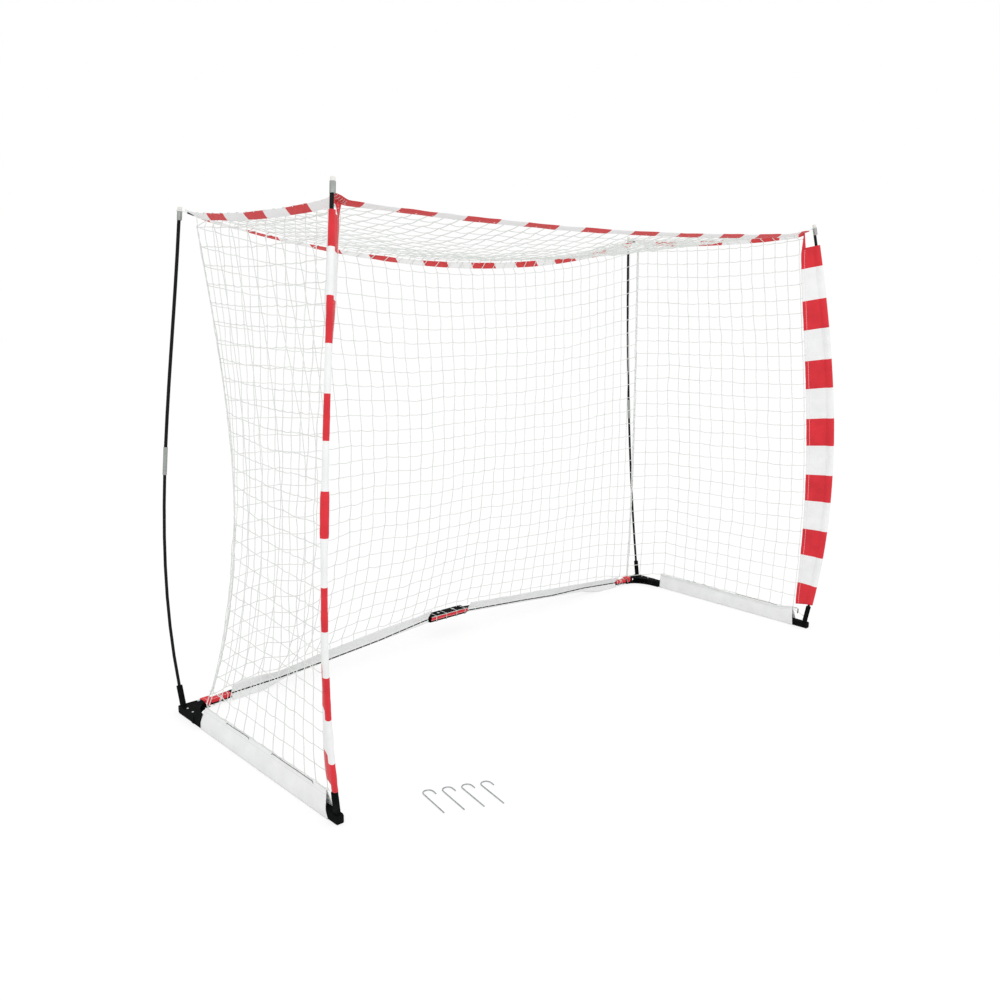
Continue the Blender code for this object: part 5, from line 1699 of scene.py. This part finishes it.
# %% Bands round the rear bar
BAND_LOW = 0.0115
WRAPPED_BAND = (
    (0.0, -BAND_FRONT), (-0.008, -BAND_FRONT), (-BAND_FRONT + 0.001, -BAND_FRONT + 0.0004),
    (-BAND_FRONT, -BAND_LOW),
)
BAND_COLUMNS = len(WRAPPED_BAND) + 2
HANGING_END = (0.30, 0.44)
HANGING_OUT = 0.010


def lower_band(side):
    """The cloth below the slit. It hangs in front of the bar near the corner and goes round it further on."""

    def place_at(column, reach):
        top = max(along_points(SLIT_LINES[side], reach) - SLIT_WIDTH / 2, SLIT_LEAST)
        wrapped = (WRAPPED_BAND + ((-BAND_FRONT, (top - BAND_LOW) / 2), (-BAND_FRONT, top)))[column]
        share = column / (BAND_COLUMNS - 1)
        floor_up = 0.0020 - BAR_MIDDLE - bar_rise(reach)
        ripple = 0.004 * wander(Vector((reach, side, 0)), 0.05, 66).x
        out = (HANGING_OUT + ripple) * (1 - share) ** 1.3
        hanging = (-BAND_FRONT - out, between(floor_up, top, share))
        loose = 1 - kept_within((reach - HANGING_END[0]) / (HANGING_END[1] - HANGING_END[0]))
        return tuple(between(held, free, loose) for held, free in zip(wrapped, hanging))

    return place_at


for word, side in SIDES.items():
    piece, width, length = rear_band(side, "rear_bar_band_" + word, BAND_COLUMNS, lower_band(side))
    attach(piece, "rear_" + word)

# %% Stitches over the slit
STITCH_STEP = 0.047
SLIT_END = 0.012

for word, side in SIDES.items():
    paths = []
    for reach in spaced(REAR_SKIRT_FIRST + SLIT_END, REAR_SKIRT_LAST - SLIT_END, STITCH_STEP):
        slack = wander(Vector((reach, side, 0)), 0.05, 70)
        middle = along_points(SLIT_LINES[side], reach)
        lower, upper = middle - SLIT_WIDTH * 0.9, middle + SLIT_WIDTH * 0.9
        path = [by_bar(side, reach, -BAND_FRONT - 0.0004, lower)]
        path.append(by_bar(side, reach + 0.004 + 0.004 * slack.x, -BAND_FRONT - 0.0020, middle))
        path.append(by_bar(side, reach + 0.008 + 0.007 * slack.x, -BAND_FRONT - 0.0008, upper))
        paths.append(path)
    piece = cord_piece("slit_stitches_" + word, paths, 0.0013)
    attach(piece, "rear_" + word)

# %% [markdown]
# ## Red covers
# Next to each corner bracket the rear bar wears a short red cover, open underneath and laced criss-cross
# with the white cord that ends the net. It hugs the bar, so it is a sheet bent round a rounded square,
# with soft puffs between the turns of the lacing. Its end lies over the bracket's plate, and a tab of it
# hangs down in front.

# %% Red corner covers
COVER_CLOTH = 0.0011
COVER_CLEAR = 0.0014
COVER_FRONT_EDGE = -0.0020
PUFF_PITCH = 0.035


def rounded_hug(clear):
    """Section of a sheet over the bar, from its front lower edge over the top to its rear lower edge."""
    reach = REAR_BAR / 2 + clear
    section = [(-reach, COVER_FRONT_EDGE), (-reach, 0.002), (-reach, 0.0055), (-reach, 0.009)]
    section += [(-reach + 0.0018, 0.0128), (-reach + 0.0045, reach), (-0.004, reach + 0.0006)]
    section += [(0.004, reach + 0.0006), (reach - 0.0045, reach), (reach - 0.0018, 0.0128), (reach, 0.009)]
    return section + [(reach, 0.002), (reach, -0.006), (reach, -0.0125)]


def corner_cover(side, name):
    section = rounded_hug(COVER_CLEAR)
    reach = lengths_along(section)
    rows = spaced(COVER_START, COVER_START + COVER_LENGTH - 0.009, 0.007)

    def place(column, row):
        across, up = section[column]
        spot = by_bar(side, rows[row], across, up)
        puff = 0.5 + 0.5 * math.sin(2 * math.pi * (rows[row] - COVER_START) / PUFF_PITCH + column * 0.9)
        uneven = wander(spot, 0.028, 80 + side)
        out = max(0.0013 * puff + 0.0012 * uneven.x, 0.0)
        away = Vector((across, up)).normalized() * out
        hang = -0.0030 * max(0.0, uneven.y) if column == 0 else 0.0
        return by_bar(side, rows[row], across + away.x, up + away.y + hang)

    from_edge = [min(distance, reach[-1] - distance) for distance in reach]
    bm = bent_sheet(from_edge, rows, place)
    piece = made_piece(bm, name, (RED_CLOTH,), thickness=COVER_CLOTH, smoothing=1)
    return piece, reach[-1], rows[-1] - rows[0]


for word, side in SIDES.items():
    piece, width, length = corner_cover(side, "corner_cover_cloth_" + word)
    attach(piece, "rear_" + word)
    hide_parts("corner_cover_" + word)

# %% The covers' ends, which lie on the corner brackets
PLATE_UP = PLATE_TOP - BAR_MIDDLE
FLAP_LINE = ((0.0160, 0.0030), (0.0080, 0.0022), (0.0, 0.0020), (-0.0080, 0.0022), (-0.0160, 0.0026))
FLAP_TAB = ((-0.0195, -0.0015), (-0.0205, -0.0090), (-0.0215, -0.0160), (-0.0240, -0.0220))
FLAP_START = 0.012
TAB_NARROW = 0.42
TAB_AREA_SHARE = 0.6


def cover_flap(side, name):
    """The cover's end, which lies over the corner bracket's plate and hangs down in front of it as a tab."""
    section = FLAP_LINE + FLAP_TAB
    reach = lengths_along(section)
    columns = spaced(FLAP_START, COVER_START + 0.006, 0.006)

    def place(column, row):
        across, up = section[row]
        flat = columns[column]
        hanging = max(0.0, (row - len(FLAP_LINE) + 1) / len(FLAP_TAB))
        gathered = FLAP_START + 0.004 + (flat - FLAP_START) * TAB_NARROW
        distance = between(flat, gathered, min(1.0, 1.5 * hanging))
        uneven = wander(by_bar(side, distance, across, up), 0.022, 84 + side)
        lift = 0.0008 + 0.0012 * max(0.0, uneven.z)
        swing = hanging * hanging * 0.010
        return by_bar(side, distance + swing, across - 0.001 * uneven.y * hanging, PLATE_UP + up + lift)

    bm = bent_sheet([distance - FLAP_START for distance in columns], reach, place)
    piece = made_piece(bm, name, (RED_CLOTH,), thickness=COVER_CLOTH, smoothing=1)
    width = columns[-1] - columns[0]
    top, tab = reach[len(FLAP_LINE) - 1], reach[-1] - reach[len(FLAP_LINE) - 1]
    return piece, width, reach[-1], width * (top + TAB_AREA_SHARE * tab)


for word, side in SIDES.items():
    piece, width, length, area = cover_flap(side, "corner_flap_cloth_" + word)
    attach(piece, "rear_" + word)

# %% Lacing of the corner covers
LACE_CLEAR = 0.0040
LACE_RADIUS = 0.0014
LACE_STEPS = 16
COVER_LACES = (
    (0.034, 0.062, -40, 150), (0.062, 0.066, 150, 330), (0.084, 0.108, -40, 150), (0.108, 0.112, 150, 320),
    (0.112, 0.088, -40, 150), (0.124, 0.136, -60, 130),
)


def round_bar(side, reach, angle, clear):
    """A place on a cord that lies over the bar's cover. The angle is 0 in front and 180 degrees behind."""
    half = REAR_BAR / 2 + clear
    way = Vector((-math.cos(angle), math.sin(angle)))
    stretch = min(1 / max(abs(way.x), abs(way.y)), 1.22)
    return by_bar(side, reach, way.x * half * stretch, way.y * half * stretch)


def laced_turn(side, start, end, first, last):
    """A cord over the cover that moves along the bar while it goes round, between two angles in degrees."""
    path = []
    for step in range(LACE_STEPS + 1):
        share = step / LACE_STEPS
        angle = math.radians(between(first, last, share))
        path.append(round_bar(side, between(start, end, share), angle, LACE_CLEAR))
    return path


for word, side in SIDES.items():
    piece = cord_piece("cover_lacing_" + word, [laced_turn(side, *lace) for lace in COVER_LACES], LACE_RADIUS)
    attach(piece, "rear_" + word)

# %% [markdown]
# The centre bracket has a red strip along the upper half of its front, bunched into a shallow fold and
# held by turns of the white net cord that go round the whole bracket. One more cord runs along the
# plate's front edge.

# %% Centre cover
CENTRE_Y = 0.655
CENTRE_HEIGHT = 0.0923
CENTRE_FRONT = 0.025
CENTRE_FOLD = (
    (0.0125, 0.0030), (0.0118, 0.0042), (0.0085, 0.0030), (0.0040, 0.0010), (-0.0010, 0.0008),
    (-0.0040, 0.0022),
)
face_y = CENTRE_Y - CENTRE_FRONT - 0.0010
cover_rows = spaced(-CENTRE_BRACKET_HALF + 0.004, CENTRE_BRACKET_HALF, 0.008)


def centre_place(column, row):
    """A place on the centre cover. Its lower edge is looser than the rest."""
    up, out = CENTRE_FOLD[column]
    spot = Vector((cover_rows[row], face_y, CENTRE_HEIGHT + up))
    uneven = wander(spot, 0.03, 90)
    loose = 0.0016 if column == len(CENTRE_FOLD) - 1 else 0.0006
    return spot + Vector((0, -out - 0.0010 * abs(uneven.y), loose * uneven.z))


bm = bent_sheet(lengths_along(CENTRE_FOLD), cover_rows, centre_place)
piece = made_piece(bm, "centre_cover_cloth", (RED_CLOTH,), thickness=COVER_CLOTH, smoothing=1)
cover_length = cover_rows[-1] - cover_rows[0]
area = lengths_along(CENTRE_FOLD)[-1] * cover_length
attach(piece, "centre")
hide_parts("centre_cover")

# %% Lacing round the centre bracket
CENTRE_REAR = 0.032
CENTRE_LEVEL = 0.0148
LACE_OFF = 0.0022
LACE_X = (-0.088, -0.020, 0.050, 0.108)
front_y = face_y - 0.0058
rear_y = CENTRE_Y + CENTRE_REAR + LACE_OFF
top_z = CENTRE_HEIGHT + CENTRE_LEVEL + LACE_OFF
low_z = CENTRE_HEIGHT - CENTRE_LEVEL - LACE_OFF

paths = []
for x in LACE_X:
    turn = [(x + 0.004, front_y + 0.004, low_z), (x - 0.004, front_y, CENTRE_HEIGHT - 0.004)]
    turn += [(x - 0.001, front_y, CENTRE_HEIGHT + 0.008), (x, front_y + 0.004, top_z), (x, CENTRE_Y, top_z)]
    turn += [(x, rear_y, top_z), (x + 0.002, rear_y, low_z), (x + 0.003, CENTRE_Y, low_z)]
    paths.append([Vector(place) for place in turn + turn[:1]])
edge_cord = []
for x in spaced(-CENTRE_BRACKET_HALF + 0.006, CENTRE_BRACKET_HALF - 0.002, 0.012):
    slack = wander(Vector((x, 0, 0)), 0.04, 93)
    edge_cord.append(Vector((x, front_y + 0.0020, CENTRE_HEIGHT + CENTRE_LEVEL + 0.0006 + 0.0010 * slack.z)))
piece = cord_piece("centre_lacing", paths + [edge_cord], LACE_RADIUS)
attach(piece, "centre")

# %% [markdown]
# ## Pole tips, and the cords that hold the corners
# Each pole ends in a short grey tube with a pale cap pressed into it. Both are turned shapes, so a
# profile is spun round the pole's end. The faces beyond the tube's end take the cap's finish.

# %% Pole tips
TIP_FERRULE_LENGTH = 0.037
TIP_TURN_STEPS = 28
TIP_PROFILE = (
    (0.0071, 0.0), (0.0094, 0.0), (0.0100, 0.0008), (0.0100, 0.0362), (0.0096, 0.0370), (0.0086, 0.0372),
    (0.0090, 0.0382), (0.0090, 0.0480), (0.0082, 0.0504), (0.0058, 0.0516), (0.0028, 0.0520), (0.0, 0.0520),
)


def tip_fitting(side, end, name):
    pole = POLES[(side, end)]
    bm = bmesh.new()
    verts = [bm.verts.new((radius, 0.0, along)) for radius, along in TIP_PROFILE]
    edges = [bm.edges.new(pair) for pair in zip(verts, verts[1:])]
    bmesh.ops.spin(
        bm, geom=verts + edges, cent=(0, 0, 0), axis=(0, 0, 1), angle=2 * math.pi, steps=TIP_TURN_STEPS,
        use_merge=True, use_duplicate=False,
    )
    bmesh.ops.remove_doubles(bm, verts=bm.verts[:], dist=1e-6)
    rim = [edge for edge in bm.edges if edge.is_boundary]
    bmesh.ops.contextual_create(bm, geom=rim)
    bmesh.ops.recalc_face_normals(bm, faces=bm.faces[:])
    for face in bm.faces:
        face.material_index = 1 if face.calc_center_median().z > TIP_FERRULE_LENGTH - 0.0001 else 0
    turned = Matrix.Translation(pole.neck) @ pole.tip_turn.to_4x4()
    bmesh.ops.transform(bm, matrix=turned, verts=bm.verts[:])
    piece = made_piece(bm, name, (DRAWN_TUBE, TIP_NYLON))
    piece.data.set_sharp_from_angle(angle=math.radians(35))
    return piece


for word, side in SIDES.items():
    for place, end in ENDS.items():
        piece = tip_fitting(side, end, f"tip_fitting_{place}_{word}")
        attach(piece, f"upper_{place}_{word}")
        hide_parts(f"pole_tip_{place}_{word}")

# %% [markdown]
# At the left front the crossbar's tape itself is bunched and stitched to the foot of the tip. At the
# other three corners a thin cord is hitched round the tip's tube and pulls the corner of the strips up to
# it. These cords are short and tight, so they are straight. At the rear the bunched ends are wrapped with
# black cord, and in front a red tab of cloth joins the crossbar to the top inner corner of each sleeve.

# %% Cords and wraps at the pole tips
TIP_CORD_RADIUS = 0.0013
FRONT_CORD_UP = 0.036
HITCH_TURNS = 1.25
HITCH_TURN_STEPS = 20
HITCH_STEPS = round(HITCH_TURNS * HITCH_TURN_STEPS)
HITCH_RISE = 0.0032
WRAP_STEPS = 10


def tip_cord_path(side, end, up, knot):
    """A cord that is hitched round a tip's tube and runs straight to a knot."""
    pole = POLES[(side, end)]
    middle = pole.neck + pole.tip_axis * up
    away = pole.tip_turn.inverted() @ (knot - middle)
    leave = math.atan2(away.y, away.x) - math.pi / 2
    path = []
    for step in range(HITCH_STEPS + 1):
        angle = leave - 2 * math.pi * (HITCH_STEPS - step) / HITCH_TURN_STEPS
        rise = -HITCH_RISE * (HITCH_STEPS - step) / HITCH_STEPS
        round_it = Vector((math.cos(angle), math.sin(angle), 0)) * (TIP_RADIUS + TIP_CORD_RADIUS + 0.0002)
        path.append(middle + pole.tip_turn @ (round_it + Vector((0, 0, rise))))
    last = path[-1]
    for share in (0.2, 0.4, 0.6, 0.8, 1.0):
        path.append(last.lerp(knot, share))
    return path


def tip_cord(side, end, up, knot, name):
    path = tip_cord_path(side, end, up, knot)
    piece = made_piece(cord_bmesh([path], TIP_CORD_RADIUS, resolution=2), name, (NET_CORD,))
    moved = [tuple(place + FRAME_SHIFT) for place in path]
    length = lengths_along(path)[-1]
    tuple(moved[0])
    print(name, "is", round(length, 4), "m long")
    return piece


def wound(start, end, radius, turns):
    """A cord wound in a close helix round a straight bunch."""
    ahead = (end - start).normalized()
    across = ahead.orthogonal().normalized()
    other = ahead.cross(across)
    path = []
    for step in range(turns * WRAP_STEPS + 1):
        angle = 2 * math.pi * step / WRAP_STEPS
        out = across * math.cos(angle) + other * math.sin(angle)
        path.append(start.lerp(end, step / (turns * WRAP_STEPS)) + out * radius)
    return path


for word, side in SIDES.items():
    rear_knot = rear_corner(side) + rear_pull[side]
    piece = tip_cord(side, 1, REAR_HOLD_UP, rear_knot, "tip_cord_rear_" + word)
    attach(piece, "upper_rear_" + word)
    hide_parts("rear_strap_" + word)
    bunch_end = rear_corner(side) + Vector((-side * 0.004, -0.006, 0.003))
    wrap = wound(rear_knot, bunch_end, 0.0034, 8)
    piece = cord_piece("corner_wrap_" + word, [wrap], 0.0016, finish=BLACK_CORD)
    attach(piece, word + "_frame")
piece = tip_cord(1, -1, FRONT_CORD_UP, crossbar_run(1.0), "tip_cord_front_right")
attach(piece, "upper_front_right")

# %% Red links and stitches at the front corners
LINK_WIDTHS = {-1: (0.042, 0.014), 1: (0.007, 0.020)}
LINK_SHARES = {-1: 0.0075, 1: 0.9940}
LINK_BACK = {-1: 0.0, 1: 0.010}
LINK_COLUMNS = (-0.5, -0.25, 0.0, 0.25, 0.5)
LINK_CLOTH = 0.0010
LINK_CUT_SHARE = 0.6
HEM_DROP = 0.018
STITCH_SHARES = (0.0012, 0.0034, 0.0056, 0.0078, 0.0100)
STITCH_HALF = 0.0090
STITCH_LINE = (
    (STITCH_HALF + 0.001, 0.0, -0.001), (STITCH_HALF, 0.0, 0.0030), (0.0, 0.002, 0.0046),
    (-STITCH_HALF, 0.004, 0.0030), (-(STITCH_HALF + 0.001), 0.004, -0.001),
)


def corner_link(side, name):
    """The red tab of cloth between the crossbar and the top inner corner of a sleeve."""
    top_width, low_width = LINK_WIDTHS[side]
    inward = sleeve_inward(side, SLEEVE_TOP)
    low = sleeve_edge(side, SLEEVE_TOP - HEM_DROP) - inward * LINK_BACK[side] + Vector((-0.004, -0.005, 0))
    centre, ahead, wide, thick = tape_frame(crossbar_run, LINK_SHARES[side], CROSSBAR_LEAN)
    high = centre - wide * 0.012 + thick * 0.001
    down = (low - high).length
    rows = spaced(0.0, down, 0.006)

    def place(column, row):
        share = rows[row] / down
        width = between(top_width, low_width, share)
        middle = high.lerp(low, share)
        way = ahead.lerp(-inward if side > 0 else inward, share).normalized()
        curl = 0.0030 * math.sin(math.pi * share) * (1 - 4 * LINK_COLUMNS[column] ** 2)
        return middle + way * width * LINK_COLUMNS[column] - Vector((0, curl, 0))

    bm = bent_sheet([top_width * (0.5 + column) for column in LINK_COLUMNS], rows, place)
    piece = made_piece(bm, name, (RED_CLOTH,), thickness=LINK_CLOTH, smoothing=1)
    return piece, top_width if side < 0 else low_width, down


for word, side in SIDES.items():
    piece, width, length = corner_link(side, "corner_link_" + word)
    area = width * length * LINK_CUT_SHARE
    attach(piece, "lower_front_" + word)
stitches = []
for share in STITCH_SHARES:
    centre, ahead, wide, thick = tape_frame(crossbar_run, share, CROSSBAR_LEAN)
    path = [centre + wide * across + ahead * along + thick * out for across, along, out in STITCH_LINE]
    stitches.append(path)
piece = cord_piece("crossbar_stitches", stitches, 0.0007)
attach(piece, "left_frame")

# %% [markdown]
# ## Floor, background and light
# The goal stands on a white studio floor that runs into a white background. The floor is an ordinary pale
# surface for the light that bounces off it. The camera sees a darker surface with a glow added to it, so
# that it joins the white background without an edge and still keeps the goal's soft shadow. The sky of
# the studio is a dim even light, and two large soft lamps give the cloth and poles their shape.

# %% Floor
FLOOR_SIZE = 60.0
FLOOR_DOWN = 0.0006
FLOOR_GLOW = 0.77
FLOOR_SEEN = 0.25


def seen_directly(tree):
    """One for what the camera sees, also through glass or in a mirror, and zero for all other light."""
    path = add_node(tree, "LightPath")
    first = add_node(
        tree, "Math", {"operation": "MAXIMUM"},
        {0: path.outputs["Is Camera Ray"], 1: path.outputs["Is Glossy Ray"]},
    ).outputs[0]
    return add_node(
        tree, "Math", {"operation": "MAXIMUM"}, {0: first, 1: path.outputs["Is Transmission Ray"]}
    ).outputs[0]


def studio_floor():
    """A pale floor for the light, which the camera sees as a darker one with a glow added to it."""
    made = bpy.data.materials.new("white_studio_floor")
    made.use_nodes = True
    tree = made.node_tree
    tree.nodes.clear()
    plain = add_node(tree, "BsdfDiffuse", {"Color": linear("ededed")})
    shaded = add_node(tree, "BsdfDiffuse", {"Color": (FLOOR_SEEN, FLOOR_SEEN, FLOOR_SEEN, 1.0)})
    glow = add_node(tree, "Emission", {"Color": (1.0, 1.0, 1.0, 1.0), "Strength": FLOOR_GLOW})
    seen = add_node(tree, "AddShader", {}, {0: shaded.outputs[0], 1: glow.outputs[0]})
    mix = add_node(tree, "MixShader", {}, {0: seen_directly(tree), 1: plain.outputs[0], 2: seen.outputs[0]})
    add_node(tree, "OutputMaterial", {}, {"Surface": mix.outputs[0]})
    return made


bm = bmesh.new()
bmesh.ops.create_grid(bm, x_segments=1, y_segments=1, size=FLOOR_SIZE / 2)
bmesh.ops.translate(bm, verts=bm.verts[:], vec=(0, 0, -FLOOR_DOWN))
floor_mesh = bpy.data.meshes.new("studio_floor")
bm.to_mesh(floor_mesh)
bm.free()
floor_mesh.materials.append(studio_floor())
floor = bpy.data.objects.new("studio_floor", floor_mesh)
bpy.context.scene.collection.objects.link(floor)
floor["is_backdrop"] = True
print("floor", FLOOR_SIZE, "m wide")

# %% Background and lamps
SKY_LEVEL = 0.95
LAMP_SIZE = 3.0
KEY_POWER = 44.0
FILL_POWER = 42.0


def soft_lamp(name, place, target, power):
    data = bpy.data.lights.new(name, "AREA")
    data.shape = "SQUARE"
    data.size = LAMP_SIZE
    data.energy = power
    lamp = bpy.data.objects.new(name, data)
    way = (Vector(target) - Vector(place)).to_track_quat("-Z", "Y").to_matrix().to_4x4()
    lamp.matrix_world = Matrix.Translation(Vector(place)) @ way
    bpy.context.scene.collection.objects.link(lamp)


world = bpy.data.worlds.new("studio")
world.use_nodes = True
bpy.context.scene.world = world
tree = world.node_tree
tree.nodes.clear()
sky = add_node(tree, "Background", {"Color": (1.0, 1.0, 1.0, 1.0), "Strength": SKY_LEVEL})
white = add_node(tree, "Background", {"Color": (1.0, 1.0, 1.0, 1.0), "Strength": 1.0})
both = add_node(
    tree, "MixShader", {}, {0: seen_directly(tree), 1: sky.outputs[0], 2: white.outputs[0]}
)
add_node(tree, "OutputWorld", {}, {"Surface": both.outputs[0]})
soft_lamp("key_lamp", (-5.2, -3.8, 4.2), (0, 0, 0.9), KEY_POWER)
soft_lamp("fill_lamp", (0.8, -5.5, 4.0), (0.3, 0, 0.9), FILL_POWER)
print("sky", SKY_LEVEL, "key", KEY_POWER, "fill", FILL_POWER)

# %% [markdown]
# ## Sizes, and the end
# The dressed goal's box is written at the end.

# %% Write the dressed goal's box
low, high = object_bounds()
print("visual size", [round(value, 4) for value in high - low])
